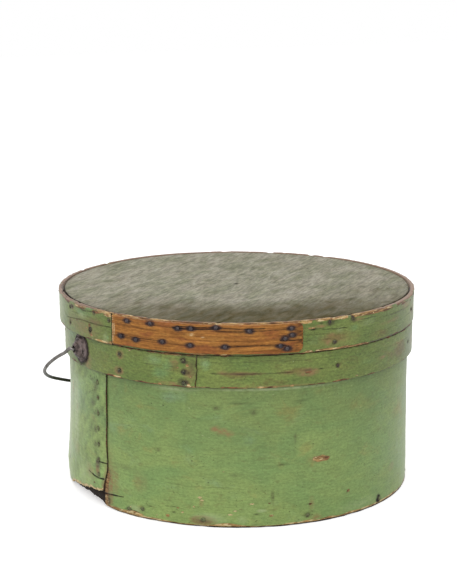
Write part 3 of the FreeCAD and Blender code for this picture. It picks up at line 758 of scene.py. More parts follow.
WALL_LINES = [
    (1.3, 1.7, [(-80.7, 17.4), (-77.8, 18.2), (-75.1, 19.4), (-73.8, 19.8)]),
    (0.8, 1.2, [(-74, 19.8), (-71.0, 20.6)]), (0.6, 0.9, [(-70.4, 7.0), (-67.0, 7.4), (-64.4, 6.4)]),
    (0.5, 0.8, [(-62.2, 19.4), (-60.6, 17.4), (-59.6, 17.6)]),
    (0.5, 0.7, [(-55.0, 21.0), (-52.4, 22.0), (-48.4, 20.6)]),
    (0.6, 0.55, [(-19, 77.4), (-12, 76.2), (-6, 75.6)]), (0.5, 0.35, [(-60, 52), (-46, 49.5), (-33, 50.2)]),
    (0.5, 0.4, [(-38, 153), (-20, 155), (2, 152)]), (0.4, 0.4, [(-31, 96), (-22, 95), (-16, 96)])]
WALL_OLIVE = [
    (-64, 140, 13, 11, 1.3), (-60, 130, 26, 16, 0.7), (-61, 88, 15, 8, 1.1), (-72, 108, 10, 26, 0.8),
    (-66, 50, 18, 14, 0.6), (-16, 140, 22, 26, 0.9), (-12, 95, 26, 22, 0.7), (15, 140, 40, 30, 0.9),
    (35, 110, 30, 60, 0.8), (-86, 45, 22, 25, 0.6)]
# cool, pale tints; the broad ones at bearings -96 and -110 are a painted sheen towards the left side
WALL_COOL = [
    (-52, 158, 26, 12, 1.0), (-38, 130, 26, 18, 0.6), (-60, 112, 14, 14, 0.6), (-47, 85, 16, 26, 0.7),
    (-96, 120, 20, 60, 0.9), (-110, 100, 30, 90, 1.1)]
WALL_BROWN = [
    (-78.0, 16, 7, 14, 1.1), (-76.4, 34, 3.4, 14, 0.8), (-42.3, 7.8, 13, 5, 1.3),
    (-38.4, 122.4, 5, 3.2, 0.75), (-36.2, 119.6, 6, 3.4, 0.8), (-34.0, 116.8, 5, 3.0, 0.7),
    (-42.8, 30.5, 2.4, 5, 0.45), (-6, 6, 6, 4, 0.5), (-7.6, 25, 3, 8, 0.4), (-83.0, 46, 3.4, 9, 0.8),
    (-98.5, 58, 8, 8, 0.35), (-88, 40, 8, 8, 0.4), (-64, 45, 9, 12, 0.25), (-74.5, 38, 6, 16, 0.4),
    (30, 40, 8, 5, 0.3), (-5.6, 79.6, 12, 4.2, 0.35)]
# pale stains; the broad ones at bearings -100, -116 and 62 are a painted sheen towards the sides, and the
# thin lines at heights 168 and 170.4 a painted highlight just under the hoop
WALL_PALE = [
    (-20, 170.4, 70, 1.6, 0.55), (-52, 168, 26, 2.4, 0.4), (-40, 12, 18, 5, 0.3), (-66, 10, 10, 4, 0.35),
    (-100, 108, 12, 60, 0.55), (-116, 100, 44, 150, 0.75), (-92, 30, 20, 20, 0.3), (62, 90, 24, 120, 0.5),
    (-104, 60, 5, 20, 0.3), (-24, 21, 5, 1.6, 0.7), (-30, 10, 6, 4, 0.25), (48, 12, 30, 8, 0.25),
    (12, 10, 30, 6, 0.2)]
WALL_MURK = [
    (-78.6, 11, 5, 8, 1.0), (-42.3, 7.8, 11, 4.0, 0.34), (-82.8, 54, 4.6, 6, 0.75),
    (-83.6, 151, 5.5, 7, 0.45), (-85.0, 130, 5, 5, 0.45), (-86.0, 160, 5, 3, 0.5), (-84.0, 118, 4, 5, 0.4),
    (-83.8, 97, 4, 5, 0.45), (-84, 78, 4, 4, 0.45), (-38, 148, 5, 2.4, 0.5), (-26.5, 143, 4, 3.5, 0.4),
    (-13.5, 108, 1.2, 7, 0.5), (-20.5, 38, 1.8, 8, 0.5), (-70, 60, 20, 4, 0.2), (-79.3, 172, 2, 3, 0.7),
    (-57, 91, 2.6, 2, 0.6), (-32, 66, 8, 2, 0.25)]
# by height in mm: bare wood and rust beside the outer end, painted shade darker towards the hoop and lighter
# towards the floor, and how far the sides bulge in mm
WALL_SEAM_BARE = [(4, 1.0), (20, 1.0), (40, 0.8), (52, 0.4), (66, 0.15), (80, 0.0)]
WALL_SEAM_RUST = [(4, 0.85), (45, 0.7), (62, 0.3), (90, 0.05), (150, 0.0)]
WALL_SHADE_UP = [(0, 0.19), (60, 0.12), (110, 0.02), (150, -0.09), (175, -0.16)]
WALL_BULGE_LEFT = [(0, 2.0), (12, 3.2), (26, 3.9), (45, 2.4), (80, 0.2), (130, -0.7), (172, 0)]
WALL_BULGE_RIGHT = [(0, 0.6), (25, 1.3), (60, 0.2), (130, -0.9), (172, 0)]
# painted sheen by bearing: paler towards the sides near -115 and 58 degrees, and a little at the back
WALL_SHEEN_ROUND = [
    (-180, 0.1), (-150, 0.14), (-115, 0.34), (-100, 0.16), (-88, 0.07), (-60, 0.05), (-40, 0.0), (30, -0.03),
    (58, 0.16), (180, 0.1)]


def beside_lap(angle, high):
    """(on the outer layer, bearing, angle to the right of the outer layer's wavy end)"""
    on_lap = on_last_lap(angle, WALL_LAP_END, WALL_LAP)
    bearing = wrapped(angle)
    return on_lap, bearing, bearing - WALL_LAP_END - knots(high / MM, WALL_END_WAVE)


def wall_marks(angle, high, side):
    on_lap, bearing, beyond = beside_lap(angle, high)
    along = arc_at(bearing, WALL_OUT)
    bare = features(angle, high, WALL_OUT, WALL_BARE)
    tone = 0.3 + features(angle, high, WALL_OUT, WALL_TONE) - features(angle, high, WALL_OUT, WALL_CREAM)
    tone = np.clip(tone, -0.6, 1)
    width = knots(bearing, WALL_WORN) * np.clip(1 + 0.35 * waver(6, along, 0.02), 0.5, 1.6) * MM
    bottom_edge = unit((width + 1.7 * MM - high) / (1.0 * MM) + 0.5)
    bare = np.maximum(bare, bottom_edge * 1.1)
    worn_tone = np.clip(-0.3 + 0.3 * waver(10, along, 0.012), -0.6, 0.5)
    tone = np.where((bottom_edge > 0) & (tone < 0.5), np.minimum(tone, worn_tone), tone)
    bare = np.maximum(bare, unit(1 - (WALL_HIGH - high) / (4 * MM)))
    flecks = features(angle, high, WALL_OUT, WALL_FLECKS)
    bare = np.maximum(bare, flecks)
    tone = np.where(flecks > 0.1, -0.8, tone)
    tear = torn_low(angle)
    ragged = unit(3.8 - (high - tear) / (1.1 * MM) + 0.5 * waver(48, along, 0.006))
    torn = np.where(on_lap & (tear > 3 * MM), ragged, 0)
    bare = np.maximum(bare, torn * 1.4)
    tone = np.where(torn > 0, -1.0, tone)
    rusty = np.where(~on_lap & (beyond > -0.5), unit(1.25 - beyond / 2.6), 0)
    rusty = rusty * knots(high / MM, WALL_SEAM_BARE)
    bare = np.maximum(bare, rusty)
    tone = np.where(rusty > 0.2, 0.4, tone)
    dark = features(angle, high, WALL_OUT, WALL_DARK)
    ring = nail_rings(["side_lap_nails"], angle, high, WALL_OUT, HEAD_RADIUS, 0.9 * MM)
    dark = np.maximum(dark, 0.75 * ring * on_lap)
    dark = np.maximum(dark, 0.7 * nail_rings(["base_nails"], angle, high, WALL_OUT, 2.4 * MM, 0.8 * MM))
    cracks = [lines(angle, high, WALL_OUT, places) for places in (WALL_LINES_LAP, WALL_LINES)]
    dark = np.maximum(dark, np.where(on_lap, *cracks))
    # a dark joint beside the outer end, darkened more as the painted shadow cast by the end's step
    crevice = unit(1 - beyond / 0.2) * np.where(beyond > -6, 1.3, 0)
    under_lap = (beyond < 0.2) & (bearing > WALL_LAP_END - WALL_LAP + 0.6)
    # painted shade with stain: the inner layer left bare below the torn outer layer is darkened
    torn_shade_and_stain = unit((26 * MM - high) / (3 * MM)) * under_lap * 1.7
    fringe = unit(1 - beyond / 1.2) * unit((18 * MM - high) / (5 * MM)) * (beyond > 0) * 0.6
    dark = np.maximum(dark, np.where(on_lap, 0, np.maximum(np.maximum(crevice, torn_shade_and_stain), fringe)))
    dark = np.maximum(dark, np.where(on_lap, unit(1 + beyond / 0.25) * 0.4 * (beyond < 1), 0))
    # painted shadow: a dark line along the wall's foot, where it meets the floor
    ground = unit(3.4 - (high - WALL_LOW) / (0.65 * MM))
    dark = np.maximum(dark, ground * knots(bearing, [(-90, 0.6), (-50, 0.8), (-40, 1.1)]))
    inside = side > 0.5
    bare = np.where(inside, 1.4, bare)
    dark = np.where(inside, 0.1 + 0.3 * unit(1 - (high - BASE_HIGH) / (20 * MM)), dark)
    return bare, np.clip(dark, 0, 1.7), np.where(inside, 0.25, tone)


def stain_and_light_fields(angle, high, radius, *kinds):
    """Soft brown, pale and murky stains of a band; some of the pale ones are a painted sheen."""
    return [stains(angle, high, radius, places) for places in kinds]


def wall_stain_and_light(angle, high):
    on_lap, bearing, beyond = beside_lap(angle, high)
    brown, pale, murk = stain_and_light_fields(angle, high, WALL_OUT, WALL_BROWN, WALL_PALE, WALL_MURK)
    seam_rust = np.where(on_lap, unit(1 + beyond / 1.6), unit(1.5 - beyond / 2.4) * (beyond > -6))
    brown = np.maximum(brown, seam_rust * knots(high / MM, WALL_SEAM_RUST))
    murk = murk * np.where((bearing < -81.5) & ~on_lap, 0, 1)
    near = near_nails(["side_lap_nails", "base_nails"], angle, high, WALL_OUT, (7 * MM, 6 * MM))
    murk = np.maximum(murk, 0.4 * near)
    # painted shade: a murky band on the wall just under the hoop
    murk = np.maximum(murk, 0.35 * unit(1 - (HOOP_LOW - high) / (1.2 * MM)) * (high < HOOP_LOW))
    return brown, pale, murk


def wall_tint_and_light(angle, high):
    bearing = wrapped(angle)
    olive = features(angle, high, WALL_OUT, WALL_OLIVE, 1.0)
    cool = features(angle, high, WALL_OUT, WALL_COOL, 1.0)
    # painted shade by height and painted sheen by bearing
    shade = knots(high / MM, WALL_SHADE_UP)
    shade = shade + knots(bearing, WALL_SHEEN_ROUND)
    along = arc_at(bearing, WALL_OUT)
    rough = unit((-76 - bearing) / 3)
    shade = shade + 0.09 * rough * ripples(17, along, high, 0.012, 0.02)
    shade = shade + 0.10 * rough * ripples(19, along, high, 0.006, 0.008)
    shade = shade + 0.02 * ripples(9, along, high, 0.06, 0.04)
    return olive, cool, shade


def torn_low(angle):
    """Height of the wall's lower edge at an angle of the strip, broken away at the outer end's corner."""
    bearing = wrapped(angle)
    low = knots(bearing, WALL_BREAK) * MM
    on_lap = on_last_lap(angle, WALL_LAP_END, TORN_REACH)
    rough = 0.5 * MM * waver(11, arc_at(angle, WALL_OUT), 0.005) * (low > 2 * MM)
    return np.where(on_lap, np.maximum(low, knots(bearing, LAYER_TORN) * MM), low) + rough


def wall_push(angle, high):
    """Grit, dents round the nails, open cracks and the thinned end."""
    on_lap, bearing, _ = beside_lap(angle, high)
    depth = 0.35 * near_nails(["side_lap_nails"], angle, high, WALL_OUT, DENT) * on_lap
    open_lines = [lines(angle, high, WALL_OUT, places) for places in (WALL_LINES_LAP[:3], WALL_LINES[:2])]
    cracks = np.where(on_lap, *open_lines)
    grit = 0.06 * ripples(12, arc_at(bearing, WALL_OUT), high, 0.012, 0.004)
    return (grit - np.maximum(depth, 0.7 * cracks) - feathered(angle, WALL_LAP_END)) * MM


def wall_warp(angle, high):
    """The wall is no longer a true cylinder."""
    bearing = wrapped(angle)
    free = unit(high / 0.02) * unit((HOOP_LOW - high) / 0.03)
    settled = unit(1 - np.abs(np.abs(bearing) - 180) / 40)
    lap = unit(-(angle - WALL_LAP_END - 360) / 20)
    wave = 0.3 * MM * ripples(13, arc_at(angle, WALL_OUT), high, 0.22, 0.12)
    left = swell(bearing, -121, 40) * knots(high / MM, WALL_BULGE_LEFT) * MM
    right = swell(bearing, 59, 40) * knots(high / MM, WALL_BULGE_RIGHT) * MM
    return wave * free * (1 - settled) * lap + left * lap + right


def wall_end(high):
    """How far the outer end's edge strays from straight, in degrees."""
    return knots(high / MM, WALL_END_WAVE) + np.degrees(0.35 * MM * waver(16, high, 0.008) / WALL_OUT)


def build_wall():
    end = WALL_LAP_END + 360
    fine = [(end - 27, end, 0.25), (-80, -66, 0.22), (end - 5, end, 0.15)]
    angles = columns(WALL_LAP_END - WALL_LAP, end, 0.5, fine)
    along = arc_at(angles, WALL_OUT)
    inner, outer = lapped(angles, WALL_OUT - WALL_THICK, WALL_THICK, WALL_LAP_END, WALL_LAP)
    low = WALL_LOW + torn_low(angles)
    low = low + 0.3 * MM * np.clip(waver(14, along, 0.02), 0, 2)
    high = WALL_HIGH + 0 * angles
    rows = row_shares(WALL_LOW, WALL_HIGH, 2.4 * MM, [(0, 60 * MM, 0.8 * MM), (0, 5 * MM, 0.4 * MM)])
    worn = (0.6 + 0.3 * np.abs(waver(15, along, 0.02))) * MM
    return strip_mesh("wall", WALL_GREEN, angles, inner, outer, low, high, rows, worn, 0.8 * MM + 0 * angles,
                      wall_push, wall_warp, wall_marks, wall_tint_and_light, wall_stain_and_light, wall_end, WORN_END)


# ---- hoop --------------------------------------------------------------------------------------------
HOOP_NAILS = ["hoop_lap_nails", "hoop_nails"]
HOOP_END_WAVE = [(173, -0.6), (185, 0.6), (200, -0.4), (212, 0.8)]      # height and stray of the end, in mm
# shade by bearing
HOOP_SHADE = [
    (-110, 0.02), (-80, 0.0), (-60, 0.05), (-30, 0.03), (0, 0.0), (20, -0.05), (45, -0.05), (60, 0.04),
    (110, 0.02)]
HOOP_BARE = [
    (-9.9, 189.4, 7, 3.0, 0.7), (-46.2, 176.0, 2.6, 2.4, 1.0), (-46.6, 199.5, 3.0, 2.2, 0.9),
    (-45.6, 186.0, 2.2, 2.4, 0.8), (-49.6, 196.5, 1.6, 1.8, 0.8), (-66.0, 209.5, 4, 1.2, 0.7),
    (-55.5, 174.2, 2.6, 2.0, 1.1), (-33.5, 173.6, 11, 1.8, 1.3), (-24.5, 173.8, 5, 1.8, 1.2),
    (-15, 174.4, 3, 1.8, 1.1), (-52, 211.6, 22, 1.2, 1.0), (8, 176, 6, 1.4, 0.6), (-36, 173.8, 3, 1.4, 1.2),
    (-63.0, 200.0, 2.0, 1.2, 0.6), (20, 190, 7, 1.0, 0.6)]
HOOP_RED = [
    (-9.9, 189.4, 12, 6, 1.3), (-33.5, 173.4, 12, 3, 1.4), (-60, 190, 14, 10, 0.8), (20, 190, 10, 3, 1)]
HOOP_DARK = [
    (-52, 211.8, 40, 0.9, 0.7), (-46.2, 190.6, 1.8, 1.8, 0.9), (-38.5, 191, 3, 0.8, 0.5),
    (1.0, 207, 5, 0.7, 0.5), (-5.5, 191.8, 3, 0.7, 0.9), (-29.5, 190.6, 6, 1.3, 0.5),
    (-16.5, 191.0, 7, 1.2, 0.5)]
HOOP_LINES = [
    (0.7, 0.7, [(-39.5, 190.4), (-33.1, 191.4), (-27.8, 190.8), (-18.4, 191.1), (-14.6, 190.8)]),
    (0.5, 0.4, [(-41, 204), (-30, 205), (-12, 204.5), (3, 205)]),
    (0.4, 0.5, [(-66, 196), (-58, 197), (-50, 196.5)]), (0.5, 0.4, [(14, 199), (26, 200), (40, 199)]),
    (0.5, 0.5, [(-44, 209.6), (-37, 210), (-31, 209.8)])]
HOOP_OLIVE = [
    (-31, 190.5, 34, 9, 1.5), (-14, 190.5, 26, 9, 1.2), (-50, 196, 14, 16, 1.0), (-74, 195, 26, 22, 1.2),
    (-20, 178, 60, 9, 0.9), (30, 192, 60, 20, 1.0)]
# cool, pale tints; the broad one at bearing -115 is a painted sheen towards the left side
HOOP_COOL = [
    (-56, 186, 22, 12, 1.1), (-52, 198, 16, 14, 0.9), (-64, 206, 12, 6, 0.7), (-57, 203, 16, 10, 0.9),
    (-41, 200, 8, 12, 0.8), (-3, 203, 10, 6, 0.5), (-115, 192, 60, 30, 1.0)]


def band_edges(along, high, low, top, low_width, top_width, seed):
    """(bare, tone, dark) of a band's two worn edges: brown, chips of ground coat, darker at the low edge."""
    up, down = high - low, top - high
    chips_low = low_width * np.clip(0.7 + 0.6 * waver(seed, along, 0.02), 0.2, 2)
    chips_top = top_width * np.clip(0.6 + 0.7 * waver(seed + 1, along, 0.014), 0.15, 2)
    low_edge = unit((chips_low - up) / (0.8 * MM) + 0.5)
    top_edge = unit((chips_top - down) / (0.8 * MM) + 0.5)
    bare = np.maximum(low_edge, top_edge) * 1.2
    tone = np.clip(1.3 - 2.2 * unit(waver(seed + 2, along, 0.016) - 0.35), -0.6, 1)
    tone = np.maximum(tone, unit(1 - up / (0.6 * MM)))
    dark = unit(1.4 - up / (0.7 * MM)) * 0.8
    return bare, tone, dark


def hoop_marks(angle, high, side):
    bearing = wrapped(angle)
    along = arc_at(bearing, HOOP_OUT)
    on_lap = on_last_lap(angle, HOOP_LAP_END, HOOP_LAP)
    beyond = bearing - HOOP_LAP_END - hoop_end(high)
    bare, tone, dark = band_edges(along, high, HOOP_LOW, HOOP_HIGH, 1.3 * MM, 0.8 * MM, 25)
    spots = features(angle, high, HOOP_OUT, HOOP_BARE)
    bare = np.maximum(bare, spots)
    tone = np.where(spots > 0.1, unit(features(angle, high, HOOP_OUT, HOOP_RED)), tone)
    dark = np.maximum(dark, features(angle, high, HOOP_OUT, HOOP_DARK))
    dark = np.maximum(dark, lines(angle, high, HOOP_OUT, HOOP_LINES))
    dark = np.maximum(dark, 0.8 * nail_rings(HOOP_NAILS, angle, high, HOOP_OUT, HEAD_RADIUS, 1.0 * MM))
    # a dark joint beside the outer end, darkened more as the painted shadow cast by the end's step
    crevice = unit(1 - beyond / 0.2) * np.where(beyond > -6, 1.2, 0)
    dark = np.maximum(dark, np.where(on_lap, 0, crevice))
    edge = np.where(on_lap, unit(1 + beyond / 0.35), 0)
    dark = np.maximum(dark, edge * 0.45)
    bare = np.maximum(bare, edge * 0.45)
    ears = [spot(along, high, (arc_at(place, HOOP_OUT), PIVOT_HIGH), EAR_SHADOW) for place in (-90, 90)]
    dark = np.maximum(dark, np.clip(np.maximum(*ears) * 6, 0, 0.9))
    # painted shade: the hoop's top edge is darkened, under the lid's rim
    dark = np.maximum(dark, unit(1 - (HOOP_HIGH - high) / (1.6 * MM)) * 0.6)
    bare = np.where(side > 0.5, 1.4, bare)
    return bare, np.clip(dark, 0, 1.7), np.where(side > 0.5, 0.25, tone)


HOOP_BROWN = [
    (-9.9, 189.4, 12, 4.4, 0.9), (-30, 191, 22, 1.6, 0.7), (-16, 191, 8, 1.8, 0.6), (-46, 190, 6, 10, 0.5),
    (-50.5, 203, 5, 4, 0.4), (-36, 192, 6, 2.4, 0.5), (20, 190, 8, 2, 0.5), (-69.8, 202.3, 5.0, 4.4, 1.0),
    (-70.4, 182.2, 6.0, 4.6, 1.0), (-52, 176, 12, 2.4, 0.6), (-86, 182, 8, 12, 0.5),
    (-20, 174.6, 40, 1.4, 0.5), (30, 200, 14, 2, 0.4), (46, 190, 12, 5, 0.35)]
# pale stains; the broad one at bearing -110 is a painted sheen towards the left side
HOOP_PALE = [
    (-58, 203, 10, 6, 0.12), (-41.5, 203, 5, 7, 0.15), (-110, 200, 30, 30, 0.35), (50, 180, 10, 8, 0.3),
    (-47.4, 176, 3, 3, 0.6)]
HOOP_MURK = [
    (-69.8, 202.3, 3.4, 3.2, 0.8), (-70.4, 182.2, 3.8, 3.2, 0.8), (-47.6, 205.3, 5.0, 3.6, 0.95),
    (-47.6, 191.6, 4.6, 3.6, 0.9), (-47.8, 178.7, 6.0, 4.6, 0.95), (0.5, 193.5, 3.6, 3, 0.35),
    (-45.2, 198, 4, 12, 0.35), (-30, 190.8, 24, 1.2, 0.5), (-10, 192, 8, 1.2, 0.5),
    (-44, 211, 20, 1.6, 0.5), (-20, 206, 30, 1.5, 0.2)]


def hoop_stain_and_light(angle, high):
    return stain_and_light_fields(angle, high, HOOP_OUT, HOOP_BROWN, HOOP_PALE, HOOP_MURK)


def hoop_tint_and_light(angle, high):
    olive = features(angle, high, HOOP_OUT, HOOP_OLIVE, 1.0)
    cool = features(angle, high, HOOP_OUT, HOOP_COOL, 1.0)
    shade = knots(wrapped(angle), HOOP_SHADE)
    return olive, cool, shade + 0.03 * ripples(29, arc_at(angle, HOOP_OUT), high, 0.05, 0.03)


def hoop_push(angle, high):
    along = arc_at(wrapped(angle), HOOP_OUT)
    depth = 0.35 * near_nails(HOOP_NAILS, angle, high, HOOP_OUT, DENT)
    return (0.06 * ripples(22, along, high, 0.012, 0.004) - depth - feathered(angle, HOOP_LAP_END)) * MM


def hoop_warp(angle, high):
    return swell(wrapped(angle), 56, 38) * 0.9 * MM + 0 * high


def hoop_end(high):
    """How far the outer end's edge strays from straight, in degrees."""
    stray = 0.55 * MM * waver(28, high, 0.012) + knots(high / MM, HOOP_END_WAVE) * MM
    return np.degrees(stray / HOOP_OUT)


def build_hoop():
    carrier = [(WALL_LAP_END - WALL_LAP + 360 - RAMP, 0.0), (WALL_LAP_END + 360, BUMP)]
    end = HOOP_LAP_END + 360
    angles = columns(HOOP_LAP_END - HOOP_LAP, end, 0.45, [(end - 6, end, 0.2)])
    inner, outer = lapped(angles, HOOP_OUT - HOOP_THICK, HOOP_THICK, HOOP_LAP_END, HOOP_LAP, carrier)
    along = arc_at(angles, HOOP_OUT)
    low = HOOP_LOW + 0.3 * MM * np.clip(waver(23, along, 0.02), 0, 2)
    high = HOOP_HIGH - 0.3 * MM * np.clip(waver(24, along, 0.02), 0, 2)
    rows = row_shares(HOOP_LOW, HOOP_HIGH, 1.1 * MM)
    worn = (0.8 + 0.3 * np.abs(waver(21, along, 0.02))) * MM
    return strip_mesh("hoop", BAND_GREEN, angles, inner, outer, low, high, rows, worn, worn, hoop_push,
                      hoop_warp, hoop_marks, hoop_tint_and_light, hoop_stain_and_light, hoop_end, WORN_END)


# ---- lid rim -----------------------------------------------------------------------------------------
RIM_NAILS = ["rim_board_nails", "rim_low_nails"]
# shade by bearing
RIM_SHADE = [
    (-110, 0.03), (-90, 0.0), (-60, 0.0), (-12, -0.02), (20, -0.04), (40, -0.03), (60, 0.05), (110, 0.03)]
RIM_BARE = [
    (15.5, 250.4, 34, 2.0, 1.4), (21.0, 249.6, 16, 1.9, 1.5), (8.5, 250.6, 14, 1.6, 1.3),
    (2, 250.8, 12, 1.4, 1.0), (-8.8, 242.8, 6, 1.1, 1.2), (-10.5, 250.4, 8, 1.8, 1.3),
    (-5.5, 250.8, 10, 1.5, 1.0), (-81.8, 231.0, 2.0, 2.4, 1.5), (-83.6, 226.4, 1.6, 1.4, 1.0),
    (-80.8, 219.4, 2.8, 2.0, 1.3), (-87.5, 249.8, 14, 1.8, 1.3), (-78, 250.0, 9, 2.0, 1.2),
    (-72.6, 249.4, 7, 2.4, 1.4), (-76.5, 215.8, 11, 1.4, 1.4), (-71.5, 217.0, 5, 1.6, 1.0),
    (-97.0, 250.4, 12, 1.8, 1.1), (-3.5, 214.9, 16, 1.7, 1.6), (3.0, 214.7, 12, 1.6, 1.5),
    (9, 214.6, 12, 1.4, 1.4), (-9.5, 214.9, 6, 1.5, 1.4), (-89.6, 231.8, 3.4, 1.2, 0.8),
    (33, 248.5, 12, 2.2, 0.9), (41, 246.0, 6, 2.4, 0.8)]
RIM_RED = [
    (-81.4, 222.5, 5, 5, 0.9), (-78, 248.0, 9, 2.6, 1.2), (-88, 247.6, 16, 2.0, 1.2),
    (-97, 250, 14, 3, 1.2), (33, 246, 14, 4, 1.0), (41, 244, 8, 4, 1.2), (-89.6, 231.8, 5, 3, 1.2)]
RIM_DARK = [
    (-81.6, 225.2, 2.4, 3.8, 2.2), (-0.8, 222.9, 1.9, 2.2, 2.3), (-81.6, 231.8, 2.4, 1.2, 0.7),
    (-8.0, 241.2, 5, 0.9, 1.2), (44.5, 230, 1.6, 4.5, 1.5), (45.6, 246, 1.6, 2.6, 1.2),
    (-5.3, 247.6, 4, 1.0, 0.8), (-92.8, 246.4, 4.5, 2.6, 0.9), (-84.5, 247.2, 8, 1.0, 0.9),
    (-95.0, 224.5, 2.4, 4.0, 0.9), (12, 244.6, 14, 0.8, 0.6), (-68, 250.6, 3, 0.9, 0.7)]
RIM_LINES = [
    (0.8, 1.0, [(-97.5, 229.6), (-92, 232.0), (-87.1, 234.2), (-81.9, 234.5), (-75.9, 234.6),
                (-71.1, 235.2)]),
    (0.7, 0.9, [(-9.0, 240.0), (-6.0, 240.7), (-2, 239.0), (3.4, 238.2)]),
    (0.6, 0.6, [(-11.0, 227.8), (-4.2, 227.5), (-2, 227.9)]),
    (0.6, 0.6, [(-11.2, 235.4), (-7, 234.6), (-3.0, 234.2)]),
    (0.5, 0.45, [(6, 243.0), (18, 241.4), (28, 241.8), (40, 240.5)]),
    (0.5, 0.45, [(24, 229), (34, 230.2), (44, 229.8)]), (0.4, 0.35, [(8, 225.0), (20, 224.4), (32, 225.2)]),
    (0.5, 0.5, [(-93, 240.0), (-86, 240.8), (-78, 240.2)])]
RIM_OLIVE = [
    (-80, 222, 20, 9, 1.0), (-2, 230, 30, 12, 1.1), (20, 222, 40, 8, 0.9), (30, 236, 30, 10, 0.7),
    (-72, 226, 8, 12, 0.8)]
# cool, pale tints; the broad one at bearing -118 is a painted sheen towards the left side
RIM_COOL = [
    (-88, 243, 26, 7, 1.1), (-73, 222, 4, 5, 1.3), (7, 236, 16, 8, 0.8), (14, 243, 20, 4, 0.7),
    (-118, 232, 60, 20, 0.9)]


def rim_marks(angle, high, side):
    bearing = wrapped(angle)
    along = arc_at(bearing, RIM_OUT)
    bare, tone, dark = band_edges(along, high, RIM_LOW, RIM_HIGH, 1.3 * MM, 1.8 * MM, 35)
    spots = features(angle, high, RIM_OUT, RIM_BARE)
    bare = np.maximum(bare, spots)
    over_slat = unit((bearing - SLAT_START) / 1.5) * unit((SLAT_END - bearing) / 1.5)
    strip = over_slat * unit((high - RIM_HIGH + 3.0 * MM) / (0.8 * MM))
    bare = np.maximum(bare, 1.2 * strip)
    strip_tone = np.clip(0.55 + 0.5 * ripples(36, along, high, 0.014, 0.002), -0.5, 0.95)
    tone = np.where(strip > 0.3, strip_tone, tone)
    chipped = unit((bearing + 14) / 3) * unit((20 - bearing) / 8)
    dark = dark * (1 - 0.75 * chipped * (high < RIM_LOW + 3 * MM))
    golden = knots(bearing, [(-12, -0.1), (6, 0.1), (14, 0.4), (26, 0.4), (34, 0.6)])
    spot_tone = np.maximum(golden, features(angle, high, RIM_OUT, RIM_RED) * 1.4)
    tone = np.where(spots > 0.1, np.clip(spot_tone, -0.4, 1), tone)
    dark = np.maximum(dark, features(angle, high, RIM_OUT, RIM_DARK))
    dark = np.maximum(dark, lines(angle, high, RIM_OUT, RIM_LINES))
    dark = np.maximum(dark, 0.8 * nail_rings(RIM_NAILS, angle, high, RIM_OUT, HEAD_RADIUS, 1.0 * MM))
    under = unit(1 - np.abs(RIM_HIGH - 4.2 * MM - high) / (1.0 * MM)) * unit(waver(40, along, 0.02) - 0.2)
    dark = np.maximum(dark, 0.8 * under)
    bare = np.where(side > 0.5, 1.4, bare)
    # painted shade: the rim's inner face above the board is darkened, but not its top edge
    inside_top = (side > 0.5) & (high > BOARD_HIGH - 3 * MM)
    top = unit((high - RIM_HIGH + 1.2 * MM) / (0.5 * MM))
    painted_top = top * unit((np.abs(bearing + 50) - 78) / 10)
    tone = np.where(painted_top > 0.5, -0.35, tone)
    tone = np.where(inside_top, np.where(painted_top > 0.5, -0.35, 0.5), np.where(side > 0.5, 0.25, tone))
    dark = np.where(inside_top, 0.22 * (1 - top), dark)
    # painted shade: darker still at the top of the inner face at the left front, beside the gap
    between = unit((bearing + 128) / 10) * unit((-56 - bearing) / 10)
    dark = np.maximum(dark, 0.5 * between * top * ((side > 0.5) & (high < RIM_HIGH - 0.05 * MM)))
    return bare, np.clip(dark, 0, 1.7), tone


RIM_BROWN = [
    (-79, 237, 13, 5, 0.45), (-86, 226, 34, 13, 0.3), (0, 226, 26, 8, 0.25), (-81.4, 224.5, 4.4, 6, 0.8),
    (-2, 232, 6, 3, 0.4), (-3, 224, 6, 4, 0.6), (36, 244, 14, 4, 0.5), (-6, 244, 8, 2, 0.6),
    (8, 246, 8, 2, 0.5), (-92.7, 245.8, 4.4, 3, 0.7), (-79.3, 247.4, 4, 2.4, 0.5),
    (-72, 243.7, 3, 2.4, 0.6), (-94.9, 224.4, 3, 4, 0.6), (-74, 216, 8, 2, 0.5), (44, 232, 10, 6, 0.4),
    (-88, 233, 12, 2, 0.4), (24, 233, 20, 2, 0.3)]
# pale stains; those at bearings -110 and 52 are a painted sheen towards the sides
RIM_PALE = [
    (-74, 221, 4, 6, 0.25), (12, 240, 12, 4, 0.15), (1, 237, 5, 3, 0.15), (-110, 232, 30, 20, 0.4),
    (52, 235, 8, 16, 0.4), (-86, 240, 8, 3, 0.3)]
RIM_MURK = [
    (-79, 237, 13, 5, 0.22), (-2.5, 246.8, 5, 3.2, 0.8), (5.9, 246.7, 4.6, 3.2, 0.7),
    (-93, 245.6, 4.6, 3, 0.6), (-81.4, 227, 3, 4, 0.6), (44.7, 229.7, 3, 4, 0.8), (-72, 243.7, 3, 2.6, 0.5),
    (-20, 216, 30, 2, 0.4), (20, 214.6, 70, 1.4, 0.5), (30, 240.5, 26, 1.2, 0.4),
    (-0.7, 222.9, 3.4, 2.6, 0.5)]


def rim_stain_and_light(angle, high):
    return stain_and_light_fields(angle, high, RIM_OUT, RIM_BROWN, RIM_PALE, RIM_MURK)


def rim_tint_and_light(angle, high):
    olive = features(angle, high, RIM_OUT, RIM_OLIVE, 1.0)
    cool = features(angle, high, RIM_OUT, RIM_COOL, 1.0)
    bearing = wrapped(angle)
    away = unit((np.abs(bearing + 31) - 44) / 12)
    cool = np.maximum(cool, 1.8 * unit((high - RIM_HIGH + 1.6 * MM) / (0.8 * MM)) * away)
    shade = knots(bearing, RIM_SHADE)
    return olive, cool, shade + 0.03 * ripples(20, arc_at(angle, RIM_OUT), high, 0.05, 0.03)


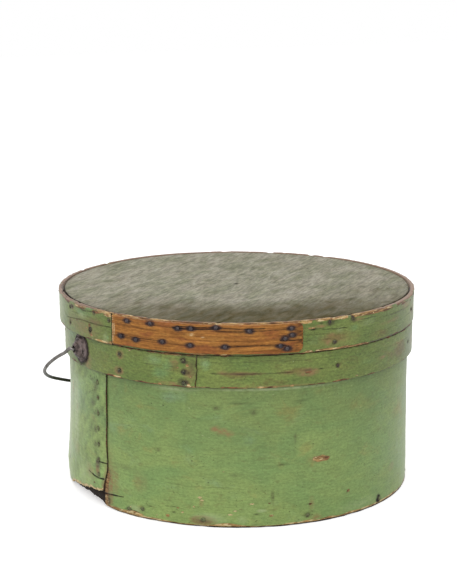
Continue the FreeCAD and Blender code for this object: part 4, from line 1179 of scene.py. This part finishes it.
def rim_push(angle, high):
    along = arc_at(wrapped(angle), RIM_OUT)
    depth = 0.35 * near_nails(RIM_NAILS, angle, high, RIM_OUT, DENT)
    depth = np.maximum(depth, 0.7 * lines(angle, high, RIM_OUT, RIM_LINES[:4]))
    loss = 0.5 * unit(features(angle, high, RIM_OUT, RIM_BARE[:3]))
    return (0.06 * ripples(32, along, high, 0.012, 0.004) - np.maximum(depth, loss)) * MM


def rim_warp(angle, high):
    flare = unit((high - RIM_HIGH + 9 * MM) / (9 * MM)) * 0.7 * MM
    wave = 0.12 * MM * ripples(33, arc_at(angle, RIM_OUT), high, 0.2, 0.1)
    under_slat = unit((angle + 72) / 4) * (angle < -9)
    return wave + 0.3 * MM + flare * (1 - under_slat)


def build_rim():
    angles = columns(RIM_LAP_END - RIM_LAP, RIM_LAP_END + 360, 0.4)
    inner, outer = lapped(angles, RIM_OUT - RIM_THICK, RIM_THICK, RIM_LAP_END, RIM_LAP)
    along = arc_at(angles, RIM_OUT)
    low = RIM_LOW + 0.25 * MM * np.clip(waver(34, along, 0.02), 0, 2)
    chips = np.clip(waver(38, along, 0.012) - 0.7, 0, 1.5) * 0.7
    high = RIM_HIGH - (0.25 * np.clip(waver(39, along, 0.05), 0, 2) + chips) * MM
    rows = row_shares(RIM_LOW, RIM_HIGH, 1.0 * MM)
    worn_high = (1.3 + 0.5 * np.abs(waver(31, along, 0.03)) + chips) * MM
    worn_low = (0.7 + 0.3 * np.abs(waver(30, along, 0.03))) * MM
    return strip_mesh("rim", BAND_GREEN, angles, inner, outer, low, high, rows, worn_low, worn_high, rim_push,
                      rim_warp, rim_marks, rim_tint_and_light, rim_stain_and_light)


# ---- repair slat -------------------------------------------------------------------------------------
SLAT_LINES = [(1.0, 1.5, [(-50.0, 245.2), (-46.7, 244.6), (-41.2, 245.2), (-36.2, 246.0)]),
              (0.5, 0.6, [(-57.6, 246.0), (-50.0, 245.2)]),
              (0.9, 1.1, [(-48.7, 247.6), (-43.2, 247.0), (-37.6, 247.6), (-30.2, 246.2), (-23.2, 246.6)]),
              (0.8, 1.0, [(-37.2, 243.4), (-29.2, 243.0), (-21.2, 244.2), (-15.2, 245.0)]),
              (0.6, 0.9, [(-67.4, 230.0), (-61.2, 228.4), (-56.7, 228.2)]),
              (0.9, 1.1, [(-35.2, 225.4), (-27.2, 226.3), (-19.7, 226.2), (-16.2, 225.0)]),
              (1.0, 1.2, [(-18.7, 231.5), (-13.2, 230.6), (-11.8, 230.3)]),
              (0.7, 0.6, [(-68.7, 241.5), (-61.7, 240.8), (-55.2, 240.2)]),
              (0.6, 0.35, [(-46.2, 232.2), (-37.2, 231.4), (-26.2, 231.8)])]
SLAT_NAILS = ["slat_board_nails", "slat_rim_nails"]
SLAT_PALE = [(-44.2, 238.6, 3.6, 2.2, 1.0), (-41.0, 236.0, 3.0, 1.0, 0.6), (-69.9, 235.0, 0.9, 9, 1.0)]


def slat_marks(angle, high, side):
    along = arc_at(angle, RIM_OUT)
    stain = near_nails(SLAT_NAILS, angle, high, RIM_OUT, (9.4 * MM, 5.6 * MM))
    streaked = near_nails(SLAT_NAILS, angle, high, RIM_OUT, (26 * MM, 2.2 * MM))
    dark = np.maximum(0.42 * unit(streaked * 1.2), lines(angle, high, RIM_OUT, SLAT_LINES))
    dark = np.maximum(dark, unit(1 - (high - SLAT_LOW) / (1.4 * MM)) * 0.5)
    worn = unit((angle - SLAT_END + 4) / 4)
    dark = np.maximum(dark, worn * np.clip(0.35 + 0.4 * ripples(45, along, high, 0.006, 0.003), 0, 0.8))
    pale = 1.6 * features(angle, high, RIM_OUT, SLAT_PALE, 1.0)
    pale = np.maximum(pale, unit(1 - (angle - SLAT_START) / 0.9) * 0.8)
    pale = np.maximum(pale, unit(1 - (SLAT_HIGH - high) / (1.2 * MM)) * 0.3)
    return stain * 1.5, np.clip(dark, 0, 1.6), unit(pale) * (side < 0.5)


def slat_tints(angle, high):
    return 0 * angle, 0 * angle, 0.04 * ripples(47, arc_at(angle, RIM_OUT), high, 0.05, 0.02)


def slat_rubs(angle, high):
    return 0 * angle, 0 * angle, 0 * angle


def slat_warp(angle, high):
    return 0 * angle


def slat_push(angle, high):
    along = arc_at(angle, RIM_OUT)
    depth = 0.5 * near_nails(SLAT_NAILS, angle, high, RIM_OUT, (6 * MM, 5 * MM))
    depth = np.maximum(depth, 1.2 * lines(angle, high, RIM_OUT, SLAT_LINES))
    worn = unit((angle - SLAT_END + 3.5) / 3.5) ** 1.5 * 2.0
    grit = 0.12 * ripples(42, along, high, 0.03, 0.0022) + 0.1 * ripples(43, along, high, 0.008, 0.004)
    return (grit - depth - worn) * MM


def build_slat():
    angles = columns(SLAT_START, SLAT_END, 0.3, [(SLAT_END - 4, SLAT_END, 0.15)])
    along = arc_at(angles, RIM_OUT)
    left = unit((SLAT_END - angles) / np.degrees(SLAT_CORNER / RIM_OUT))
    corner = SLAT_CORNER * (1 - np.sqrt(1 - (1 - left) ** 2))
    ragged = 0.35 * MM * waver(44, along, 0.015)
    low = SLAT_LOW + corner * 0.95 + 0.15 * MM + ragged * 0.5
    high = SLAT_HIGH - corner * 0.95 - 0.2 * MM + ragged * 0.7
    rows = row_shares(0.0, 1.0, 1 / 44)
    inner = RIM_OUT + SLAT_GAP + 0 * angles
    outer = inner + SLAT_THICK
    worn = (0.8 + 0.3 * np.abs(waver(41, along, 0.02))) * MM
    return strip_mesh("slat", SLAT, angles, inner, outer, low, high, rows, worn, worn, slat_push,
                      slat_warp, slat_marks, slat_tints, slat_rubs, None, (0.0, 0.25, 0.5))


# ---- boards ------------------------------------------------------------------------------------------
BOARD_GRAIN = 36.0        # direction of the lid board's grain, in degrees from +X


def board_mesh(name, material, radius, low, high, across_shrink, push, marks, worn_low=None, rings=70,
               around=240):
    """A round board with softened edges.

    push(u, v) lowers its top, with u along the grain and v across it. across_shrink narrows it across the
    grain. marks(x, y, z, share) gives (bare, dark, dirt and painted shadow), where share is the share of
    the radius.
    worn_low(bearing) is the height to which its lower corner is broken away.
    """
    edge = 0.9 * MM
    section = [(share * (radius - edge), high) for share in np.linspace(0.004, 1, rings) ** 0.85]
    corner = [(radius - edge * (1 - math.cos(turn)), edge * (1 - math.sin(turn))) for turn in ARC]
    section += [(r, high - z) for r, z in corner[::-1][1:]]
    section += [(radius, high - edge), (radius, low + edge)]
    section += [(r, low + z) for r, z in corner]
    section += [(share * (radius - edge), low) for share in np.linspace(0.99, 0.004, 30)]
    section = np.array(section)
    turn = np.linspace(0, 2 * math.pi, around, endpoint=False)
    r, t = np.meshgrid(section[:, 0], turn)
    z = np.repeat(section[None, :, 1], around, 0)
    u, v = r * np.cos(t), r * np.sin(t) * (1 - across_shrink / radius)
    lean = math.radians(BOARD_GRAIN)
    x, y = u * math.cos(lean) - v * math.sin(lean), u * math.sin(lean) + v * math.cos(lean)
    top = z > high - edge
    z = z - push(u, v) * top
    if worn_low is not None:
        lost = worn_low(np.degrees(np.arctan2(x, -y))) - (radius - r) * 0.42
        z = np.where(top, z, np.maximum(z, low + lost))
    verts = np.stack([x, y, z], -1).reshape(-1, 3)
    grain = np.stack([u, v, z], -1).reshape(-1, 3)
    paint = np.stack(marks(x, y, z, r / radius), -1).reshape(-1, 3)
    count, ring = r.shape
    index = np.arange(count * ring).reshape(count, ring)
    nxt = np.roll(index, -1, 0)
    faces = np.stack([index[:, :-1], index[:, 1:], nxt[:, 1:], nxt[:, :-1]], -1)
    faces = faces.reshape(-1, 4)[:, ::-1].tolist()
    faces.append(index[:, 0].tolist())
    faces.append(index[::-1, -1].tolist())
    return make_object(name, verts, faces, material, (), {"grain": grain, "marks": paint})


def lid_push(u, v):
    """Weathered grain ridges."""
    ridges = 0.10 * ripples(52, u, v, 0.12, 0.0035) + 0.12 * ripples(53, u, v, 0.2, 0.012)
    return (0.25 - np.clip(ridges, -0.25, 0.25)) * MM


# dirt and a painted shadow on the lid by bearing, darkest at the front, as cast by a box standing on it
GRIME_AND_SHADOW = [
    (-180, 0.0), (-100, 0.0), (-80, 0.3), (-62, 0.75), (-40, 1.0), (-8, 1.0), (14, 0.8), (32, 0.4),
    (60, 0.1), (180, 0.0)]
# painted shade in the gap round the lid's board, by bearing
BOARD_GAP = [
    (-180, 0.35), (-140, 0.8), (-70, 0.9), (-55, 0.5), (-30, 0.3), (10, 0.3), (30, 0.5), (70, 0.35)]


def lid_marks(x, y, z, share):
    bearing = np.degrees(np.arctan2(x, -y))
    # dirt and a painted shadow, stronger towards the front and towards the rim
    around = knots(bearing, GRIME_AND_SHADOW)
    grime_and_shadow = around * unit((share - 0.45) / 0.3)
    gap = knots(bearing, BOARD_GAP)
    # painted shade: the board's edge is darkened as the gap in shadow, and faintly for a few millimetres in
    # from it
    dark = gap * unit((share - 0.9955) / 0.003) + 0.1 * unit((share - 0.96) / 0.03)
    below = z < BOARD_HIGH - 2 * MM
    return np.where(below, 1.2, 0), np.where(below, 0.15, dark), np.where(below, 0, grime_and_shadow)


def build_lid_board():
    return board_mesh("lid_board_top", BOARD, BOARD_RADIUS - 0.2 * MM, BOARD_LOW, BOARD_HIGH, 0.9 * MM,
                      lid_push, lid_marks)


def build_base_board():
    """The board inside the wall, level on top and broken away where the wall is."""
    def push(u, v):
        return 0 * u

    def marks(x, y, z, share):
        # darker towards its edge, where it meets the wall
        stain = unit((share - 0.93) / 0.07) * 0.5
        return 0 * x, stain + 0.15, 0 * x

    def worn_low(bearing):
        return knots(bearing, WALL_BREAK) * MM * 1.15

    return board_mesh("base_board_worn", RAW, BASE_RADIUS, 0.0, BASE_HIGH, 0.4 * MM, push, marks, worn_low,
                      30, 320)


# ---- ironwork ----------------------------------------------------------------------------------------
def build_nails(node, name, material, seed):
    """Hammered nails with tapering square shanks, where the node has them."""
    draw = np.random.default_rng(seed)
    sides, verts, faces = 12, [], []
    for bearing, high, seat, reach in SITES[node]:
        turn = math.radians(bearing)
        out = Vector((math.sin(turn), -math.cos(turn), 0))
        across = Vector((math.cos(turn), math.sin(turn), 0))
        up = Vector((0, 0, 1))
        tilt = Matrix.Rotation(draw.normal(0, 0.06), 3, across) @ Matrix.Rotation(draw.normal(0, 0.06), 3, up)
        centre = out * seat + up * high
        size = HEAD_RADIUS * draw.uniform(0.9, 1.0)
        first = len(verts)
        for share, rise in HEAD_TIERS:
            for step in range(sides):
                phi = 2 * math.pi * step / sides
                wobble = 1 + draw.normal(0, 0.035)
                flat = (across * math.cos(phi) + up * math.sin(phi)) * size * share * wobble
                verts.append(centre + tilt @ (flat + out * (rise + draw.normal(0, 0.03)) * MM))
        verts.append(centre + tilt @ (out * 1.15 * MM))
        for tier in range(len(HEAD_TIERS) - 1):
            for step in range(sides):
                a, b = first + tier * sides + step, first + tier * sides + (step + 1) % sides
                faces.append((a, b, b + sides, a + sides))
        crown, last = len(verts) - 1, first + (len(HEAD_TIERS) - 1) * sides
        faces += [(last + step, last + (step + 1) % sides, crown) for step in range(sides)]
        faces.append([first + step for step in range(sides)][::-1])
        tip = POINT if seat - reach > LONG_NAIL else SHANK
        start = len(verts)
        for distance, half in ((seat - 0.2 * MM, SHANK), (reach, tip)):
            for sx, sy in ((-1, -1), (1, -1), (1, 1), (-1, 1)):
                verts.append(out * distance + across * sx * half * MM + up * (high + sy * half * MM))
        faces += [(start + i, start + (i + 1) % 4, start + 4 + (i + 1) % 4, start + 4 + i) for i in range(4)]
        faces += [(start + 3, start + 2, start + 1, start), (start + 4, start + 5, start + 6, start + 7)]
    return make_object(name, verts, faces, material, range(len(faces)))


# (radius, height over the hoop) of the ear's face from its rim to the hole, and of its hollow back, in mm
EAR_PROFILE = [
    (18.0, -0.35), (18.2, 0.5), (18.1, 1.1), (17.7, 1.7), (17.0, 2.1), (16.3, 1.9), (15.8, 1.2),
    (15.2, 0.9), (14.6, 1.3), (14.0, 2.6), (13.2, 4.2), (12.6, 4.8), (12.0, 5.1), (11.2, 6.3), (10.2, 7.8),
    (9.6, 8.2), (9.0, 8.5), (8.2, 9.5), (7.2, 10.6), (6.4, 11.0), (5.6, 11.5), (4.8, 12.1), (4.3, 12.4),
    (4.0, 12.3), (3.9, 11.4), (3.85, 10.2)]
EAR_INSIDE = [(5.0, 9.6), (8.4, 6.6), (11.4, 3.4), (13.0, 0.4)]
EAR_CROWN = max(rise for _, rise in EAR_PROFILE)
HOLE_RISE, EAR_RISE = -0.2, 1.0   # the plate sits a little high on its hole, in mm
EAR_TOP = 236.5 * MM             # both domes end at the same distance from the middle, clear of the wire


def build_ear(name, side, seed):
    """A dished iron plate, drawn up to a hole for the wire inside a beaded flange."""
    seat = -EAR_LEFT[1][0] if side < 0 else EAR_RIGHT[0][0]
    around, draw = 96, np.random.default_rng(seed)
    profile = np.array(EAR_PROFILE + EAR_INSIDE)
    profile[:, 1] *= (EAR_TOP - seat) / (EAR_CROWN * MM)
    phase = draw.uniform(0, 6.28, 8)
    turns = np.linspace(0, 2 * math.pi, around, endpoint=False)
    phi, radius = np.meshgrid(turns, profile[:, 0], indexing="ij")
    rise = np.repeat(profile[None, :, 1], around, 0)
    cone = unit((14 - radius) / 3) * unit((radius - 3.0) / 3)
    ribs = 0.04 * np.sin(17 * phi + phase[0]) + 0.05 * np.sin(11 * phi + phase[1])
    ribs = ribs + 0.04 * np.sin(25 * phi + phase[2])
    dent = 0.3 * np.sin(2 * phi + phase[3]) * np.sin(radius * 0.5 + phase[4])
    dent = dent + 0.15 * np.sin(5 * phi + phase[5])
    rise = rise + cone * (ribs + dent)
    edge = 1 + 0.010 * np.sin(5 * phi + phase[6]) + 0.006 * np.sin(9 * phi + phase[7])
    hole = 1 + 0.02 * np.sin(2 * phi + phase[2]) + 0.015 * np.sin(3 * phi + phase[5])
    flat = radius * np.where(radius > 14, edge, np.where(radius < 5, hole, 1))
    tangential = flat * np.cos(phi)
    up = flat * np.sin(phi) + EAR_RISE + HOLE_RISE * unit((14.6 - radius) / 10)
    bend = tangential ** 2 / (2 * HOOP_OUT / MM) * unit(radius / 15)
    verts = np.stack([side * (seat + (rise - bend) * MM), tangential * MM, PIVOT_HIGH + up * MM], -1)
    verts = verts.reshape(-1, 3)
    polar = np.stack([radius * MM, phi / 100, rise * MM], -1).reshape(-1, 3)
    count = len(profile)
    faces = []
    for step in range(around):
        nxt = (step + 1) % around
        for i in range(count):
            a, b = step * count + i, step * count + (i + 1) % count
            c, d = nxt * count + (i + 1) % count, nxt * count + i
            faces.append((a, b, c, d) if side < 0 else (d, c, b, a))
    return make_object(name, verts, faces, EAR_IRON, (), {"grain": polar})


BAIL_RISE = 0.7 * MM            # the wire lies in the upper half of the holes
BAIL_LIFT = [(0.2374, 0.0), (0.2396, 1.8 * MM), (0.2404, 2.4 * MM)]   # distance from the middle, rise
BAIL_HANG = 28.5                # degrees below level
# (degrees from a pivot, radius in mm) of the bow, the same on both sides
BAIL_SHAPE = [
    (0.9, 240.6), (3, 244.0), (7, 249.2), (12.6, 253), (17.8, 255.9), (22.6, 257), (28, 256.4),
    (33.5, 254.6), (38, 251.4), (42.4, 248.2), (50, 245.6), (60, 247.2), (72, 251.2), (90, 253.4)]


def bail_path():
    """Centreline of the wire from one inner end to the other, level, with the pivots on the X axis."""
    bend_x = WASHER_FACE - HOOK_GAP
    hook_x = bend_x - HOOK_BEND
    half = [(hook_x, HOOK_BEND + HOOK_LENGTH * (1 - i / 4)) for i in range(4)]
    half += [(bend_x - HOOK_BEND * math.cos(t), HOOK_BEND - HOOK_BEND * math.sin(t))
             for t in np.linspace(0, math.pi / 2, 7)]
    knee_x = BAIL_SHAPE[0][1] * MM - KNEE
    half += [(x, 0.0) for x in np.linspace(bend_x + 3 * MM, knee_x - 1.5 * MM, 8)]
    half += [(knee_x + KNEE * math.sin(t), KNEE - KNEE * math.cos(t)) for t in np.linspace(0, 1.4, 10)]
    turns = np.radians(np.concatenate([np.linspace(1.0, 8, 12), np.linspace(8.7, 90, 110)]))
    bow = smooth_knots(np.degrees(turns), BAIL_SHAPE) * MM
    arc = [(r * math.cos(t), r * math.sin(t)) for r, t in zip(bow, turns)]
    return np.array(half + arc + [(-x, y) for x, y in (half + arc[:-1])[::-1]])


def smooth_knots(value, places):
    """Like knots, with the corners rounded off."""
    ease = np.clip(value / 8, 0.05, 1)
    return np.mean([knots(value + shift * ease, places) for shift in np.linspace(-3, 3, 13)], 0)


def build_bail():
    path = bail_path()
    run = np.concatenate([[0], np.cumsum(np.hypot(*np.diff(path, axis=0).T))])
    free = unit((path[:, 1] - 0.03) / 0.05)
    flat = np.stack([path[:, 0], path[:, 1], free * 0.35 * MM * waver(62, run, 0.12)], -1)
    turn = np.array(Matrix.Rotation(math.radians(-BAIL_HANG), 3, "X"))
    line = flat @ turn.T + np.array([0, 0, PIVOT_HIGH])
    beside_ear = unit(1 - (path[:, 1] - 4 * MM) / (8.6 * MM))
    line[:, 2] += knots(np.abs(line[:, 0]), BAIL_LIFT) * beside_ear + BAIL_RISE
    normal = turn @ np.array([0, 0, 1.0])
    tangent = np.gradient(line, axis=0)
    tangent /= np.linalg.norm(tangent, axis=1)[:, None]
    side = np.cross(tangent, normal)
    side /= np.linalg.norm(side, axis=1)[:, None]
    lift = np.cross(side, tangent)
    sides = 14
    rings = []
    for step in range(sides):
        phi = 2 * math.pi * step / sides
        rings.append(line + WIRE * (side * math.cos(phi) + lift * math.sin(phi)))
    rings = np.stack(rings, 1)
    count = len(line)
    verts = rings.reshape(-1, 3).tolist()
    index = np.arange(count * sides).reshape(count, sides)
    nxt = np.roll(index, -1, 1)
    faces = np.stack([index[:-1], nxt[:-1], nxt[1:], index[1:]], -1).reshape(-1, 4).tolist()
    faces += [index[0][::-1].tolist(), index[-1].tolist()]
    bow = np.repeat(unit((path[:, 1] - 0.082) / 0.045), sides)
    marks = np.stack([bow, 0 * bow, 0 * bow], -1)
    return make_object("bail_wire", verts, faces, STEEL, [len(faces) - 2, len(faces) - 1], {"marks": marks})


# ---- stage -------------------------------------------------------------------------------------------
def camera_white(tree, kind, glossy):
    """An evenly white shader, and the share of rays that see it.

    These are the camera's, through glass too, and also the reflected ones if it is glossy.
    """
    white = tree.nodes.new(kind)
    white.inputs["Color"].default_value = (1, 1, 1, 1)
    white.inputs["Strength"].default_value = 1.0
    ray = tree.nodes.new("ShaderNodeLightPath")
    share = ray.outputs["Is Camera Ray"]
    for other in ["Is Transmission Ray"] + (["Is Glossy Ray"] if glossy else []):
        more = tree.nodes.new("ShaderNodeMath")
        more.operation = "MAXIMUM"
        tree.links.new(share, more.inputs[0])
        tree.links.new(ray.outputs[other], more.inputs[1])
        share = more.outputs[0]
    return white, share


def build_stage():
    """A white floor that takes the object's shadow."""
    bpy.ops.mesh.primitive_plane_add(size=FLOOR_SIZE, location=(0, 0, FLOOR_HIGH))
    floor = bpy.context.object
    floor.name = "floor"
    material = bpy.data.materials.new("floor")
    material.use_nodes = True
    tree = material.node_tree
    tree.nodes.clear()
    matt = tree.nodes.new("ShaderNodeBsdfDiffuse")
    matt.inputs["Color"].default_value = (0.9, 0.9, 0.9, 1)
    glow, seen = camera_white(tree, "ShaderNodeEmission", False)
    strength = tree.nodes.new("ShaderNodeMath")
    strength.operation = "MULTIPLY"
    strength.inputs[1].default_value = FLOOR_GLOW
    tree.links.new(seen, strength.inputs[0])
    tree.links.new(strength.outputs[0], glow.inputs["Strength"])
    both = tree.nodes.new("ShaderNodeAddShader")
    out = tree.nodes.new("ShaderNodeOutputMaterial")
    tree.links.new(matt.outputs[0], both.inputs[0])
    tree.links.new(glow.outputs[0], both.inputs[1])
    tree.links.new(both.outputs[0], out.inputs["Surface"])
    floor.data.materials.append(material)


def area_light(name, place, target, size, power):
    lamp = bpy.data.lights.new(name, "AREA")
    lamp.shape, lamp.size, lamp.energy = "DISK", size, power
    obj = bpy.data.objects.new(name, lamp)
    obj.location = place
    obj.rotation_euler = (Vector(target) - Vector(place)).to_track_quat("-Z", "Y").to_euler()
    bpy.context.scene.collection.objects.link(obj)


def build_light():
    world = bpy.data.worlds.new("studio")
    bpy.context.scene.world = world
    world.use_nodes = True
    tree = world.node_tree
    lit = tree.nodes["Background"]
    lit.inputs["Color"].default_value = (1, 1, 1, 1)
    lit.inputs["Strength"].default_value = WORLD_LIGHT
    white, share = camera_white(tree, "ShaderNodeBackground", True)
    choice = tree.nodes.new("ShaderNodeMixShader")
    tree.links.new(share, choice.inputs[0])
    tree.links.new(lit.outputs[0], choice.inputs[1])
    tree.links.new(white.outputs[0], choice.inputs[2])
    tree.links.new(choice.outputs[0], tree.nodes["World Output"].inputs["Surface"])
    area_light("key", KEY_PLACE, KEY_TARGET, KEY_SIZE, KEY_LIGHT)
    area_light("top", TOP_PLACE, TOP_TARGET, TOP_SIZE, TOP_LIGHT)


def build_camera():
    lens = bpy.data.cameras.new("camera")
    lens.lens = CAMERA_LENS
    lens.sensor_width = CAMERA_SENSOR
    lens.clip_end = 50
    camera = bpy.data.objects.new("camera", lens)
    camera.location = CAMERA_PLACE
    camera.rotation_euler = [math.radians(turn) for turn in CAMERA_TURN]
    bpy.context.scene.collection.objects.link(camera)
    bpy.context.scene.camera = camera


# ---- assembly ----------------------------------------------------------------------------------------
build_camera()
install(build_wall(), "box", ["side_wall"])
install(build_hoop(), "box", ["top_hoop"])
install(build_rim(), "lid", ["lid_rim"])
install(build_slat(), "lid", ["rim_slat"])
install(build_lid_board(), "lid", ["lid_board"])
install(build_base_board(), "box", ["base_board"])
install(build_ear("ear_left", -1, 71), "box", ["ear_plate_left"])
install(build_ear("ear_right", 1, 72), "box", ["ear_plate_right"])
install(build_bail(), "bail", ["wire_bail"])
for number, (node, body, material) in enumerate([
        ("side_lap_nails", "box", PAINTED_IRON), ("base_nails", "box", PAINTED_IRON),
        ("hoop_lap_nails", "box", BAND_IRON), ("hoop_nails", "box", BAND_IRON),
        ("rim_board_nails", "lid", BAND_IRON), ("rim_low_nails", "lid", BAND_IRON),
        ("slat_board_nails", "lid", NAIL_IRON), ("slat_rim_nails", "lid", NAIL_IRON)]):
    install(build_nails(node, node + "_worn", material, 80 + number), body, [node])
for node in ("ear_washer_left", "ear_washer_right"):
    washer = frame["nodes"][node]
    washer.data.materials.clear()
    washer.data.materials.append(WASHER_IRON)

build_light()
build_stage()
bpy.context.scene.view_settings.view_transform = "Standard"
